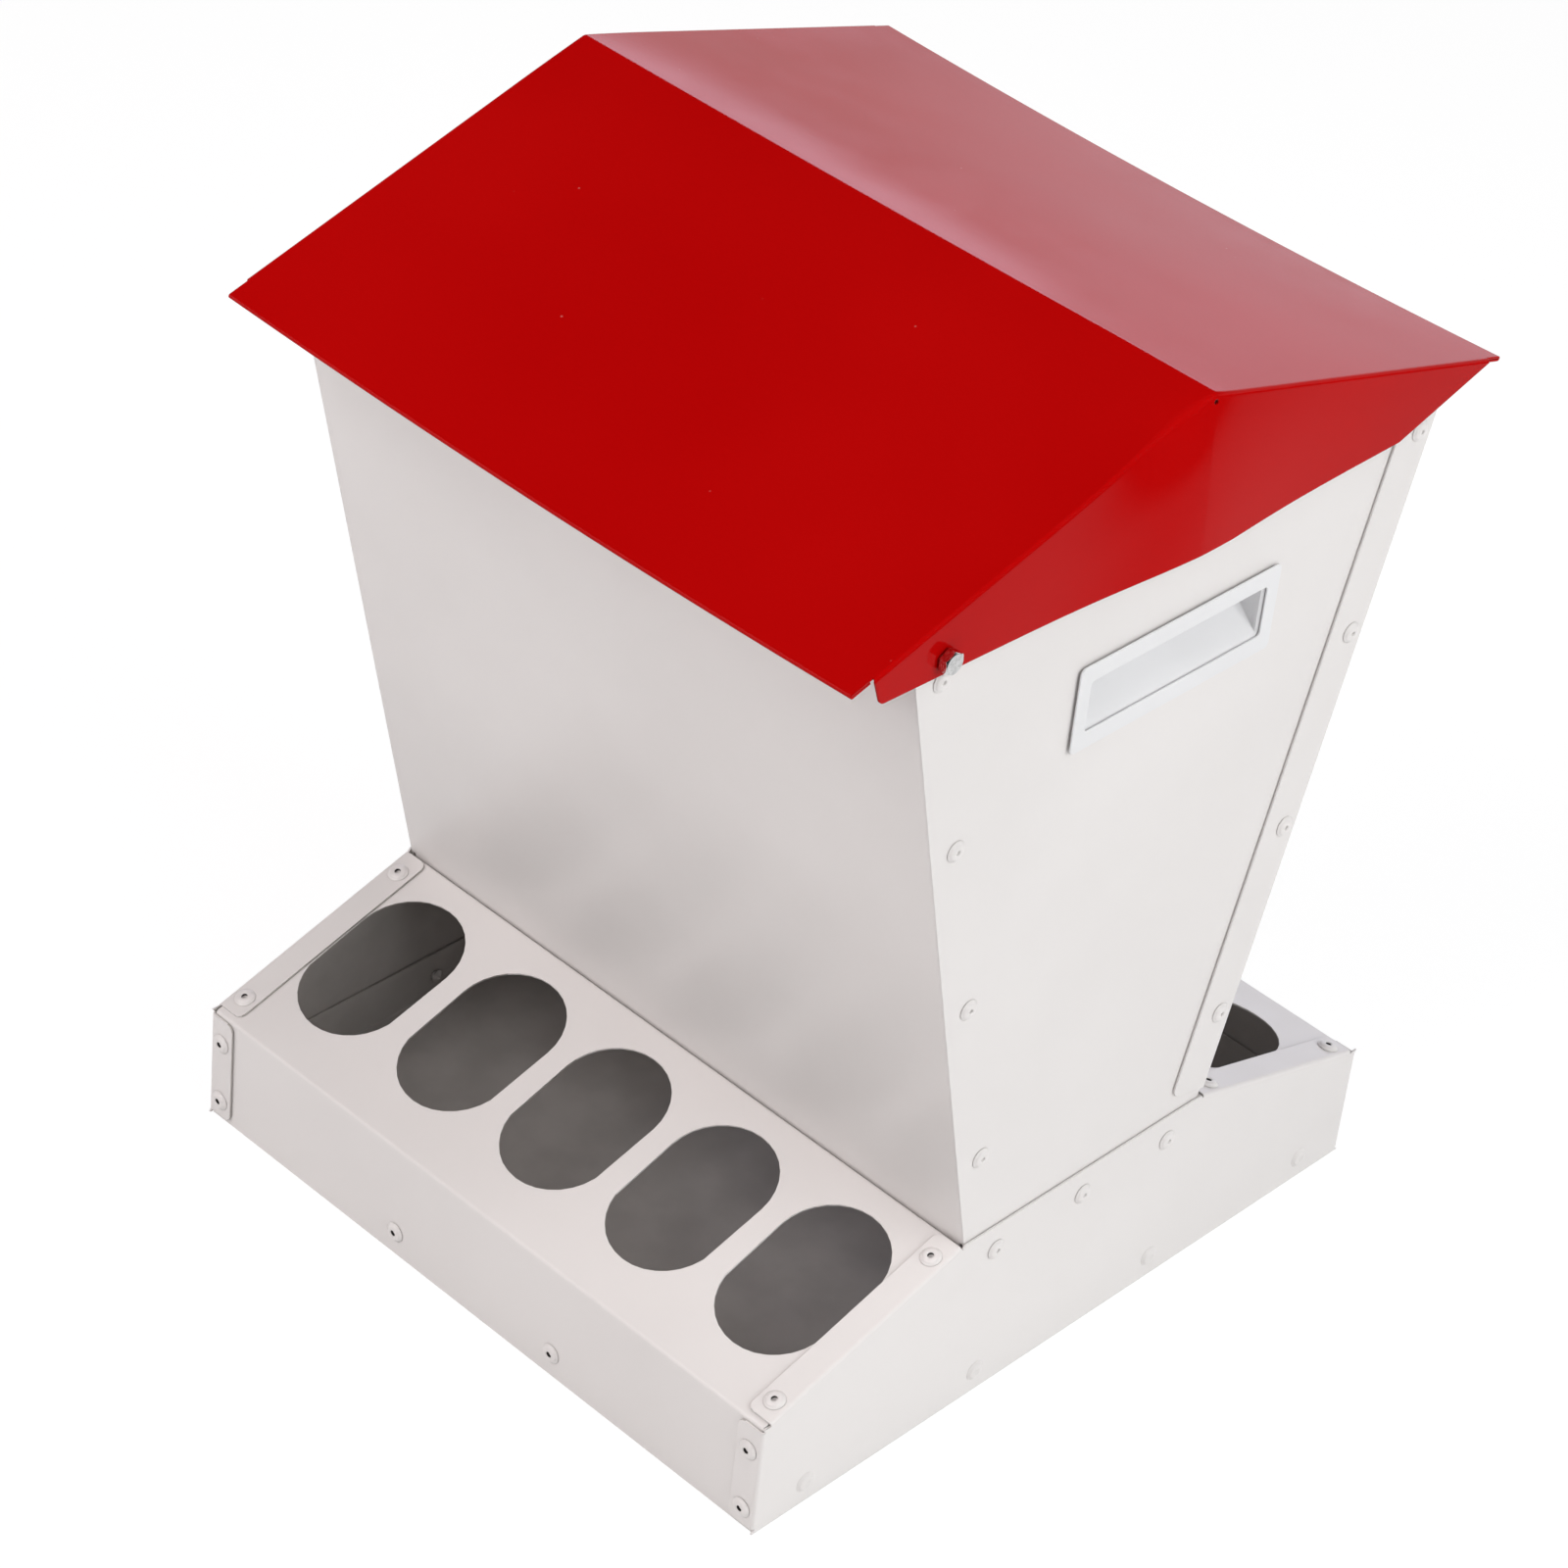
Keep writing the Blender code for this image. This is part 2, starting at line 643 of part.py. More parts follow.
def pocket_outline(front, wall):
    """XZ outline of the finger pocket, grown by a wall; its floor rises inwards."""
    face = LAP_GAP + HANDLE_PLATE
    deep = face - GRIP_DEPTH - wall
    ceiling = GRIP_HEIGHT / 2 + wall

    def floor(x):
        return (face - x) * math.tan(GRIP_SLOPE) - GRIP_HEIGHT / 2 - wall / math.cos(GRIP_SLOPE)

    return [(front, floor(front)), (deep, floor(deep)), (deep, ceiling), (front, ceiling)]


def build_handle(name, side):
    """Recessed handle: a frame on the side panel and a pocket for the fingers behind it."""
    place = handle_place(side)
    face = LAP_GAP + HANDLE_PLATE
    size = (HANDLE_PLATE, HANDLE_WIDTH, HANDLE_HEIGHT)
    frame = plate_mesh(f"handle_{name}", size, HANDLE_CORNER, HANDLE_EDGE, LAP_GAP)
    handle = add_piece(f"handle_{name}", frame, WHITE_PLASTIC, place)
    pocket = pocket_outline(face - HANDLE_PLATE / 2, HANDLE_WALL)
    shell = prism_mesh(f"handle_{name}_pocket", pocket, GRIP_WIDTH + 2 * HANDLE_WALL)
    combine(handle, add_cutter(shell.name, shell, place), "UNION")
    hollow = prism_mesh(f"handle_{name}_hollow", pocket_outline(face + CUT_REACH, 0), GRIP_WIDTH)
    combine(handle, add_cutter(hollow.name, hollow, place), "DIFFERENCE")


def cut_handle_window(panel, name, side):
    """Opening in the side panel for the handle's pocket."""
    outline = pocket_outline(0, HANDLE_WALL)
    bottom, top = outline[0][1] - LAP_GAP, outline[3][1] + LAP_GAP
    size = (2 * CUT_REACH, GRIP_WIDTH + 2 * (HANDLE_WALL + LAP_GAP), top - bottom)
    window = block_mesh(f"hopper_side_{name}_window", size)
    place = handle_place(side) @ placement((0, 0, (top + bottom) / 2))
    combine(panel, add_cutter(window.name, window, place), "DIFFERENCE")


# Lid and hinge

def roof_line(y):
    """Height of the flat roof's outer face, before it sags."""
    return RIDGE_HEIGHT - math.tan(ROOF_PITCH) * abs(y)


def roof_half(skirt_end):
    """(y, z) down one slope's outer face, round the hem and back under it."""
    outward = Vector((math.sin(ROOF_PITCH), math.cos(ROOF_PITCH)))
    downhill = Vector((math.cos(ROOF_PITCH), -math.sin(ROOF_PITCH)))
    radius = SHEET + HEM_GAP / 2
    rows = [skirt_end * (row + 1) / ROOF_ROWS for row in range(ROOF_ROWS)]
    rows.append(EAVE_REACH - radius * (1 - math.sin(ROOF_PITCH)))
    points = [Vector((y, roof_line(y))) for y in rows]
    middle = points[-1] - outward * radius
    for angle in spread(math.pi / HEM_STEPS, math.pi, HEM_STEPS):
        points.append(middle + radius * (outward * math.cos(angle) + downhill * math.sin(angle)))
    points.append(points[-1] - downhill * HEM_WIDTH)
    return points


def roof_profile():
    """(y, z) over the whole roof, from under the front hem to under the back one."""
    front = [(-y, z) for y, z in roof_half(-SKIRT_FRONT)]
    crown = RIDGE_HEIGHT - RIDGE_RADIUS / math.cos(ROOF_PITCH)
    angles = spread(-ROOF_PITCH, ROOF_PITCH, RIDGE_STEPS + 1)
    ridge = [(RIDGE_RADIUS * math.sin(a), crown + RIDGE_RADIUS * math.cos(a)) for a in angles]
    return front[::-1] + ridge + roof_half(SKIRT_BACK)


def above_skirt(edge):
    """Whether an edge of the verge lies on top of the roof, between the ends of the skirt."""
    middle = (edge.verts[0].co + edge.verts[1].co) / 2
    return SKIRT_FRONT < middle.y < SKIRT_BACK and middle.z > roof_line(middle.y) - SHEET


def add_skirt(bm, verge, side):
    """Bend the verge down to vertical and close the skirt below it."""
    row = [edge for edge in verge if above_skirt(edge)]
    turned = 0
    for angle in spread(math.pi / 2 / BEND_STEPS, math.pi / 2, BEND_STEPS):
        across = side * BEND_RADIUS * (math.sin(angle) - math.sin(turned))
        down = BEND_RADIUS * (math.cos(turned) - math.cos(angle)) / math.cos(ROOF_PITCH)
        row = extrude_row(bm, row, (across, 0, -down))
        turned = angle
    top = sorted({vert for edge in row for vert in edge.verts}, key=lambda vert: vert.co.y)
    clip_y = RIM_REACH - SKIRT_CLIP_INSET
    low_y = SKIRT_RIDGE_DEPTH * math.tan(ROOF_PITCH)
    front_y = SKIRT_FRONT + SKIRT_FRONT_TAPER
    back_corner, low_point, front_corner = [
        bm.verts.new((side * LID_END, y, z)) for y, z in (
            (clip_y, roof_line(clip_y) - SKIRT_CLIP_DEPTH),
            (low_y, RIDGE_HEIGHT - SKIRT_RIDGE_DEPTH),
            (front_y, roof_line(front_y) - SKIRT_FRONT_DEPTH),
        )
    ]
    bm.faces.new([*top, back_corner, low_point, front_corner])
    round_corners(bm, [back_corner, front_corner], SKIRT_CORNER)


def lid_mesh():
    """Outer face of the folded roof: two slopes, hems along the eaves, and a skirt at each gable."""
    bm = bmesh.new()
    verge = LID_END - BEND_RADIUS
    verts = [bm.verts.new((-verge, y, z)) for y, z in roof_profile()]
    left = [bm.edges.new(pair) for pair in zip(verts, verts[1:])]
    right = left
    for _column in range(ROOF_COLUMNS):
        right = extrude_row(bm, right, (2 * verge / ROOF_COLUMNS, 0, 0))
    add_skirt(bm, left, -1)
    add_skirt(bm, right, 1)
    for vert in bm.verts:
        vert.co.z -= roof_sag(vert.co.x, vert.co.y)
    bmesh.ops.translate(bm, vec=-HINGE, verts=bm.verts)
    face_outwards(bm, (0, 0, 1))
    return to_mesh(bm, "lid")


def cross_rod(name, diameter, y, z):
    """Cutter that runs through both sides of the lid or the hopper."""
    length = 2 * (LID_END + CUT_REACH)
    rod = cylinder_mesh(name, diameter / 2, length, ROUND_SEGMENTS, -length / 2)
    return add_cutter(name, rod, placement((0, y, z), facing((1, 0, 0))))


def build_lid(hinge_rod):
    lid = add_piece("lid", lid_mesh(), RED_PAINT, placement(HINGE))
    give_thickness(lid)
    combine(lid, hinge_rod, "DIFFERENCE")
    relief_rod = cross_rod("ridge_relief_holes", RELIEF_DIAMETER, 0, RIDGE_HEIGHT - RELIEF_DROP)
    combine(lid, relief_rod, "DIFFERENCE")


def build_hinge_bolt(name, side):
    """Bolt that the lid turns on, and its nut inside the hopper."""
    head_seat = LID_END + BOLT_HEAD_GAP
    turn = facing((side, 0, 0))
    place = placement((side * head_seat, HINGE.y, HINGE.z), turn)
    bm = bmesh.new()
    add_cylinder(bm, HEX_CORNER, BOLT_HEAD_HEIGHT, 6, placement((0, 0, BOLT_HEAD_HEIGHT / 2)))
    rim = [edge for edge in bm.edges if all(vert.co.z > BOLT_HEAD_HEIGHT / 2 for vert in edge.verts)]
    bmesh.ops.bevel(bm, geom=rim, offset=BOLT_CHAMFER, segments=1, affect="EDGES")
    bolt = add_piece(f"hinge_bolt_{name}", to_mesh(bm, f"hinge_bolt_{name}"), ZINC, place)
    length = head_seat - INNER_FLANGE_FACE + NUT_HEIGHT + BOLT_TAIL
    grip_in_head = BOLT_HEAD_HEIGHT / 2
    shank = cylinder_mesh(
        f"hinge_bolt_{name}_shank", BOLT_DIAMETER / 2, length + grip_in_head, ROUND_SEGMENTS, -length
    )
    combine(bolt, add_cutter(shank.name, shank, place), "UNION")

    nut_mesh = cylinder_mesh(f"hinge_nut_{name}", HEX_CORNER, NUT_HEIGHT, 6, -NUT_HEIGHT)
    nut_place = placement((side * INNER_FLANGE_FACE, HINGE.y, HINGE.z), turn)
    nut = add_piece(nut_mesh.name, nut_mesh, ZINC, nut_place)
    bore_length = NUT_HEIGHT + 2 * CUT_REACH
    bore = cylinder_mesh(
        f"hinge_nut_{name}_bore", BOLT_DIAMETER / 2 + PIVOT_GAP, bore_length, ROUND_SEGMENTS,
        CUT_REACH - bore_length,
    )
    combine(nut, add_cutter(bore.name, bore, nut_place), "DIFFERENCE")


# Assembly

def build_rivets():
    """All rivets, with one set of holes for each sheet that they pass through."""
    short, long = rivet_mesh("rivet", 2, RIVET_SEAT), rivet_mesh("long_rivet", 3, RIVET_SEAT)
    holes = {}

    def add_rivets(name, mesh, places, *sheets):
        names = [name] if len(places) == 1 else [f"{name}_{i + 1}" for i in range(len(places))]
        for rivet_name, place in zip(names, places):
            turn_profile(add_piece(rivet_name, mesh, WHITE_PAINT, place))
        for sheet in sheets:
            holes.setdefault(sheet, []).extend(places)

    for end_name, end in ENDS:
        cover = f"tray_cover_{end_name}"
        add_rivets(f"rivet_pan_{end_name}", short, pan_rivet_places(end), cover, "bottom_pan")
        for side_name, side in SIDES:
            where = f"{end_name}_{side_name}"
            panel, hopper_side = f"base_side_{side_name}", f"hopper_side_{side_name}"
            low, high = wall_rivet_places(side, end)
            add_rivets(f"rivet_wall_low_{where}", long, [low], panel, cover, "bottom_pan")
            add_rivets(f"rivet_wall_high_{where}", short, [high], panel, cover)
            add_rivets(f"rivet_slope_{where}", short, slope_rivet_places(side, end), panel, cover)
            corner = corner_rivet_places(side, end)
            add_rivets(f"rivet_corner_{where}", short, corner, hopper_side, f"hopper_{end_name}")
    for side_name, side in SIDES:
        panel, hopper_side = f"base_side_{side_name}", f"hopper_side_{side_name}"
        add_rivets(f"rivet_waist_{side_name}", short, waist_rivet_places(side), panel, hopper_side)
        holes["bottom_pan"].extend(side_rivet_places(side))
    for sheet, places in holes.items():
        drill(bpy.data.objects[sheet], places)


def build_feeder():
    build_pan()
    build_front_panel()
    build_back_panel()
    hinge_rod = cross_rod("hinge_holes", BOLT_DIAMETER + 2 * PIVOT_GAP, HINGE.y, HINGE.z)
    for name, end in ENDS:
        build_tray_cover(name, end)
    for name, side in SIDES:
        build_base_side(name, side)
        panel = build_hopper_side(name, side)
        combine(panel, hinge_rod, "DIFFERENCE")
        cut_handle_window(panel, name, side)
        build_handle(name, side)
        build_hinge_bolt(name, side)
    build_lid(hinge_rod)
    build_rivets()


clear_scene()
PIECES = new_collection("poultry_feeder")
CUTTERS = new_collection("cutters")
ROOT = bpy.data.objects.new("feeder", None)
PIECES.objects.link(ROOT)
build_feeder()
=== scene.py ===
"""Looks of a double-sided poultry feeder: finishes, fine lid, rivets, handles, bolts, stage and light."""

import math

import bmesh
import bpy
from mathutils import Matrix, Vector


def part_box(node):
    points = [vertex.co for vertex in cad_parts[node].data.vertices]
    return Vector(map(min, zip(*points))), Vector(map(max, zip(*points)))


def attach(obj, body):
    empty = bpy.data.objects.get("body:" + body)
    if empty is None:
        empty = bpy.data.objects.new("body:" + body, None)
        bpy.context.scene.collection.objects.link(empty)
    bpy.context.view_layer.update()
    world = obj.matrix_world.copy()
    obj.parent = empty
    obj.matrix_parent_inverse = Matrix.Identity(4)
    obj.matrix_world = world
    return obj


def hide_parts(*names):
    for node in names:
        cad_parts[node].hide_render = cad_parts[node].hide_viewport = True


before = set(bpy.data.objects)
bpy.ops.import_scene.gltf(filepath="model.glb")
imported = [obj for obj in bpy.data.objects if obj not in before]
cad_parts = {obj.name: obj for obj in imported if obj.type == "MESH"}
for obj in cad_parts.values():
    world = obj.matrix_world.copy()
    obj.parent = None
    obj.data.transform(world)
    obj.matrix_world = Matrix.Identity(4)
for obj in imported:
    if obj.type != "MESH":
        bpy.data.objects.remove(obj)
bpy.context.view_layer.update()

# Camera
CAMERA_PLACE = (0.95996, -1.12483, 1.26160)
CAMERA_AZIMUTH = math.radians(40.98)
CAMERA_ELEVATION = math.radians(36.47)
CAMERA_ROLL = math.radians(6.33)
CAMERA_LENS = 113.07
CAMERA_SENSOR = 36.0
CAMERA_CLIP = (0.05, 50.0)

# Sheet metal, as the frame has it
SHEET = 0.0008
SHEET_GAP = 0.0003  # between two lapped sheets
BEND_RADIUS = 0.0014
SIDE_NAMES = (("right", 1), ("left", -1))

# Hopper
THROAT_DEPTH = 0.1306
SHOULDER_HEIGHT = 0.0815
HOPPER_LEAN = math.radians(13.72)

# Paint in the groove at the hopper's front corners, measured in from the side panel's face
GROOVE_INNER = 0.0034
GROOVE_TURN = 0.0026
GROOVE_LIP = 0.0006
GROOVE_OUTER = 0.0005
GROOVE_DEPTH = 0.0006
GROOVE_INNER_DEPTH = 0.00002
PAINT_PROUD = 0.00004  # the paint stands this far over the front panel
GROOVE_SPARE = (0.0010, 0.0002)  # it starts below the shoulder and stops short of the top

# Lid
ROOF_PITCH = math.radians(16.37)
ROOF_SAG = 0.0030
HEM_WIDTH = 0.0080
HEM_GAP = 0.0003
HEM_STEPS = 10
RIDGE_RADIUS = 0.0025
RIDGE_STEPS = 6
RIDGE_EASE = 0.0340  # the slopes flatten a little this close to the ridge
RIDGE_EASE_SLOPE = math.radians(3.2)
RIDGE_EASE_MIDDLE = -0.0400  # most at this place along the ridge
RIDGE_EASE_REACH = 0.1450  # and not at all this far from it
ROOF_COLUMNS = 40
EDGE_STRIP = 0.0200  # beside the verge
EDGE_COLUMNS = 12
VERGE_STEPS = 10
ARC_HANDLE = 0.5523  # share of the radius at which a curve's handles make a quarter circle
FOLD_PROBE = 0.1  # share of the radius over which the slope beside a fold is measured
LID_MERGE = 0.00001  # points of its surface closer than this become one
LID_SHARP_ANGLE = math.radians(40)
SKIRT_ROWS = 22
SKIRT_ROW_CROWDING = 1.4  # the rows lie closer together near the fold
SKIRT_FRONT_GAP = 0.0095
SKIRT_BACK_GAP = 0.0083
SKIRT_FRONT_TAPER = 0.0035
SKIRT_FRONT_DEPTH = 0.0125
SKIRT_RIDGE_DEPTH = 0.0637
SKIRT_CLIP_DEPTH = 0.0300
SKIRT_CLIP_REACH = 0.0550  # from the eave to the clipped back corner
SKIRT_CORNER = 0.0030
SKIRT_CORNER_STEPS = 6
SKIRT_EDGE_STEPS = (96, 26, 14)  # on the lower edge: to its lowest point, to the clip, to the back
SOFT_FOLD = 0.0028  # the right fold widens to this radius in front of the ridge
SOFT_FOLD_WINDOW = (-0.0100, 0.0160, 0.0080)  # place, fade to the front, fade to the back
ROOF_DROOP = 0.0008  # the roof's edge droops beside the wide fold
ROOF_DROOP_REACH = 0.0120
SKIRT_LEAN = 0.0026  # the skirt's top stands in below the ridge
SKIRT_LEAN_DEPTH = 0.0300
SKIRT_LEAN_POWER = 2.5
SKIRT_LEAN_WINDOW = (-0.0130, 0.0300, 0.0115)
SKIRT_FLARE = math.radians(2.8)  # and its lower edge stands out
SKIRT_FLARE_WINDOW = (-0.0030, 0.0470, 0.0450)
RELIEF_DIAMETER = 0.0018
RELIEF_DROP = 0.0034
HINGE_HOLE = 0.0056

# Rivets
RIVET_HEAD = 0.0084
RIVET_HEAD_HEIGHT = 0.0013
RIVET_SEAT = 0.0002
RIVET_DOME = 0.0068
RIVET_DOME_HEIGHT = 0.0008
RIVET_RIM = 0.00035
RIVET_LIP = 0.0004
OPEN_BORE = (0.0024, 0.0018)  # diameter and depth where the paint left the bore open
PAINTED_BORE = (0.0017, 0.0010)
BORE_FLOOR = 0.7  # share of the bore's radius that its floor takes
BORE_WALL = 0.8  # share of the bore's depth down to which its wall is straight
BORE_MARGIN = 1.01  # faces within this times the bore's radius belong to it
RIVET_BEVEL = 0.0001
RIVET_RIM_BEVEL = 0.0002
RIVET_UNDERCUT = 0.0006  # the flange's underside rises to its rim over this width
RIVET_LIFT = 0.00002  # its lowest part still clears the sheet by this much
RIVET_SHANK = 0.0040
RIVET_TAIL = 0.0058
RIVET_TAIL_LENGTH = 0.0030
RIVET_SEGMENTS = 40

# Rivets along the foot of the base's sides, which are one with them in the frame
BASE_RIVET_FACE = 0.1500
BASE_RIVET_INSET = 0.0260
BASE_RIVET_OFFSET = 0.0490
BASE_RIVET_HEIGHT = 0.0100
BASE_RIVET_SINK = 0.00005  # they are set into the sheet by this and by the seat
BASE_RIVET_COVER = 0.00006  # the fine heads stand this far over the base's own
BASE_RIVET_BORE = 0.8  # share of that cover which the bore's depth takes

# Handles
HANDLE_PLATE = 0.0015
HANDLE_GAP = 0.0003
HANDLE_WIDTH = 0.1040
HANDLE_HEIGHT = 0.0355
HANDLE_CORNER = 0.0025
GRIP_WIDTH = 0.0914
GRIP_HEIGHT = 0.0208
GRIP_DEPTH = 0.0160
GRIP_SLOPE = math.radians(40.0)
GRIP_CORNER = 0.0016
HANDLE_CORNER_STEPS = 8
CORNER_SHARE = 0.45  # a round corner takes at most this share of the height
BEZEL_THICKNESS = 0.0008
BEZEL_ROUNDING = 0.0004
MOUTH_ROUNDING = 0.0003
BACK_ROUNDING = 0.0002
ROUNDING_POINTS = 5
RIM_REACH = 0.0040  # the pocket's rim carries the frame this far out from the opening
MOUTH_SLOT = 0.0013  # dark slot between the frame's inner edge and the pocket
POCKET_LIP = ((0.0, 0.0006), (0.0001, 0.0003), (0.0003, 0.0))  # depth and growth of the rounded lip
POCKET_WALL = 0.0010
POCKET_STEPS = 14
POCKET_POWER = 0.92  # below 1, the floor starts a little steeper

# Bolts and nuts
HEAD_WIDTH = 0.0080
HEAD_HEIGHT = 0.0035
NUT_HEIGHT = 0.0047
BOLT_DIAMETER = 0.0050
NUT_PLAY = 0.0003  # between the nut's bore and the bolt's radius
CHAMFER_START = 0.95  # share of the width outside which a hexagon's corners are turned off
CHAMFER_ANGLE = math.radians(30)
CUTTER_WIDER = 1.01
CUTTER_DEEPER = 1.1
CUTTER_SEGMENTS = 48
BOLT_SHARP_ANGLE = math.radians(30)


# Node trees

class Tree:
    """A short way to write a material's nodes."""

    def __init__(self, owner):
        owner.use_nodes = True
        self.tree = owner.node_tree
        self.tree.nodes.clear()

    def add(self, kind, settings=None, **inputs):
        node = self.tree.nodes.new(kind)
        for key, value in (settings or {}).items():
            setattr(node, key, value)
        for key, value in inputs.items():
            self.plug(node, key.replace("_", " "), value)
        return node

    def plug(self, node, key, value):
        """Set or link an input, named or, as i0 or i1, numbered."""
        by_number = key[0] == "i" and key[1:].isdigit()
        socket = node.inputs[int(key[1:]) if by_number else key]
        if isinstance(value, bpy.types.NodeSocket):
            self.tree.links.new(value, socket)
        else:
            socket.default_value = value

    def noise(self, scale, detail=2.0):
        place = self.add("ShaderNodeTexCoord").outputs["Object"]
        return self.add("ShaderNodeTexNoise", Vector=place, Scale=scale, Detail=detail).outputs["Fac"]

    def spread(self, value, low, high, start=0.3, end=0.7):
        """Map what lies from start to end to the range from low to high, smoothly."""
        return self.add(
            "ShaderNodeMapRange", {"interpolation_type": "SMOOTHSTEP"},
            Value=value, From_Min=start, From_Max=end, To_Min=low, To_Max=high,
        ).outputs["Result"]

    def math(self, operation, first, second):
        return self.add("ShaderNodeMath", {"operation": operation}, i0=first, i1=second).outputs[0]

    def mix(self, factor, first, second):
        node = self.add("ShaderNodeMix", {"data_type": "RGBA"})
        self.plug(node, "Factor", factor)
        for key, colour in (("A", first), ("B", second)):
            socket = [s for s in node.inputs if s.name == key and s.type == "RGBA"][0]
            if isinstance(colour, bpy.types.NodeSocket):
                self.tree.links.new(colour, socket)
            else:
                socket.default_value = (*colour, 1)
        return [s for s in node.outputs if s.type == "RGBA"][0]

    def blend(self, noise, low, high):
        """A colour between two, by a noise."""
        return self.mix(self.spread(noise, 0.0, 1.0), low, high)

    def bump(self, height, distance, strength=1.0, normal=None):
        node = self.add("ShaderNodeBump", Height=height, Distance=distance, Strength=strength)
        if normal is not None:
            self.plug(node, "Normal", normal)
        return node.outputs["Normal"]

    def soft_edges(self, radius):
        return self.add("ShaderNodeBevel", {"samples": 6}, Radius=radius).outputs["Normal"]


def principled(name, build):
    """A material whose Principled shader is filled in by a function."""
    material = bpy.data.materials.new(name)
    tree = Tree(material)
    shader = tree.add("ShaderNodeBsdfPrincipled")
    build(tree, shader)
    output = tree.add("ShaderNodeOutputMaterial")
    tree.plug(output, "Surface", shader.outputs["BSDF"])
    return material


# Finishes

WHITE_LOW, WHITE_HIGH = (0.755, 0.725, 0.712), (0.785, 0.755, 0.742)
PAINT_ROUGHNESS = (0.29, 0.36)
PAINT_SPECULAR = 0.50
# the base's inner faces: a dull grey that is partly galvanised sheet and partly painted shade inside the
# base
GALVANISED_AND_SHADE_LOW, GALVANISED_AND_SHADE_HIGH = (0.500, 0.477, 0.455), (0.565, 0.538, 0.515)
GALVANISED_METALLIC = 0.35
GALVANISED_DULLNESS = 0.14  # added to the paint's roughness
BASE_MIDDLE = (0, 0, 0.03)  # faces of the base that look towards this point are inner ones
RED_LOW, RED_HIGH = (0.425, 0.0010, 0.0012), (0.455, 0.0018, 0.0018)
RED_ROUGHNESS = (0.07, 0.12)
RED_SPECULAR = 0.05
DUST_COLOUR = (0.72, 0.30, 0.27)
DUST_CELLS = 120.0  # to the metre
DUST_REACH = (0.020, 0.075)  # share of a cell from a speck's middle to its faint edge
DUST_DRAW = (0.86, 1.0)  # only cells that draw more than the first hold a speck
DUST_STRENGTH = 0.42
ZINC_LOW, ZINC_HIGH = (0.56, 0.56, 0.56), (0.78, 0.78, 0.78)
ZINC_ROUGHNESS = (0.16, 0.26)
PLASTIC_LOW, PLASTIC_HIGH = (0.765, 0.760, 0.770), (0.785, 0.780, 0.790)
PLASTIC_ROUGHNESS = (0.29, 0.34)
# nearly black on the walls of the rivets' open bores: painted shade, with the mandrel's dark steel
STUB_AND_BORE_SHADE_LOW, STUB_AND_BORE_SHADE_HIGH = (0.020, 0.018, 0.018), (0.060, 0.055, 0.052)
STUB_METALLIC = 0.3
STUB_ROUGHNESS = (0.45, 0.70)


def white_colour(tree):
    """Warm white with faint clouds."""
    return tree.blend(tree.noise(scale=9.0, detail=3.0), WHITE_LOW, WHITE_HIGH)


def white_roughness(tree):
    return tree.spread(tree.noise(scale=60.0), *PAINT_ROUGHNESS)


def white_relief(tree, shader):
    """Soft edges, sheets that aren't quite flat, and a fine orange peel."""
    edges = tree.soft_edges(radius=0.0004)
    wave = tree.bump(tree.noise(scale=14.0, detail=1.0), distance=0.0012, normal=edges)
    peel = tree.bump(tree.noise(scale=850.0), distance=0.00006, strength=0.35, normal=wave)
    tree.plug(shader, "Normal", peel)
    shader.inputs["Specular IOR Level"].default_value = PAINT_SPECULAR


def white_powder_coat(tree, shader):
    """Warm white powder coat."""
    tree.plug(shader, "Base Color", white_colour(tree))
    tree.plug(shader, "Roughness", white_roughness(tree))
    white_relief(tree, shader)


def paint_over_galvanised(tree, shader):
    """The base is painted outside; its inner faces are a darker dull grey, partly galvanised sheet and
    partly painted shade inside the base.
    """
    geometry = tree.add("ShaderNodeNewGeometry").outputs
    from_middle = tree.add(
        "ShaderNodeVectorMath", {"operation": "SUBTRACT"}, i0=geometry["Position"], i1=BASE_MIDDLE,
    ).outputs["Vector"]
    facing_out = tree.add(
        "ShaderNodeVectorMath", {"operation": "DOT_PRODUCT"}, i0=from_middle, i1=geometry["True Normal"],
    ).outputs["Value"]
    inside = tree.math("LESS_THAN", facing_out, 0.0)
    # darker grey for the inner faces: galvanised sheet and painted shade
    zinc = tree.blend(tree.noise(scale=45.0, detail=3.0), GALVANISED_AND_SHADE_LOW, GALVANISED_AND_SHADE_HIGH)
    tree.plug(shader, "Base Color", tree.mix(inside, white_colour(tree), zinc))
    tree.plug(shader, "Metallic", tree.spread(inside, 0.0, GALVANISED_METALLIC, 0.0, 1.0))
    dullness = tree.math("MULTIPLY", inside, GALVANISED_DULLNESS)
    tree.plug(shader, "Roughness", tree.math("ADD", white_roughness(tree), dullness))
    white_relief(tree, shader)


def dust(tree):
    """How far the dust's colour shows: a speck in a few of the cells."""
    place = tree.add("ShaderNodeTexCoord").outputs["Object"]
    cells = tree.add("ShaderNodeTexVoronoi", {"feature": "F1"}, Vector=place, Scale=DUST_CELLS)
    near = tree.spread(cells.outputs["Distance"], 1.0, 0.0, *DUST_REACH)
    draw = tree.add("ShaderNodeSeparateColor", Color=cells.outputs["Color"]).outputs["Red"]
    return tree.math("MULTIPLY", near, tree.spread(draw, 0.0, DUST_STRENGTH, *DUST_DRAW))


def red_gloss(tree, shader):
    """Deep red gloss with a long, shallow orange peel and a few specks of dust."""
    paint = tree.blend(tree.noise(scale=7.0), RED_LOW, RED_HIGH)
    tree.plug(shader, "Base Color", tree.mix(dust(tree), paint, DUST_COLOUR))
    tree.plug(shader, "Roughness", tree.spread(tree.noise(scale=45.0), *RED_ROUGHNESS))
    edges = tree.soft_edges(radius=0.0005)
    wave = tree.bump(tree.noise(scale=10.0, detail=1.0), distance=0.0008, normal=edges)
    peel = tree.bump(tree.noise(scale=420.0, detail=1.0), distance=0.00005, strength=0.25, normal=wave)
    tree.plug(shader, "Normal", peel)
    shader.inputs["Specular IOR Level"].default_value = RED_SPECULAR


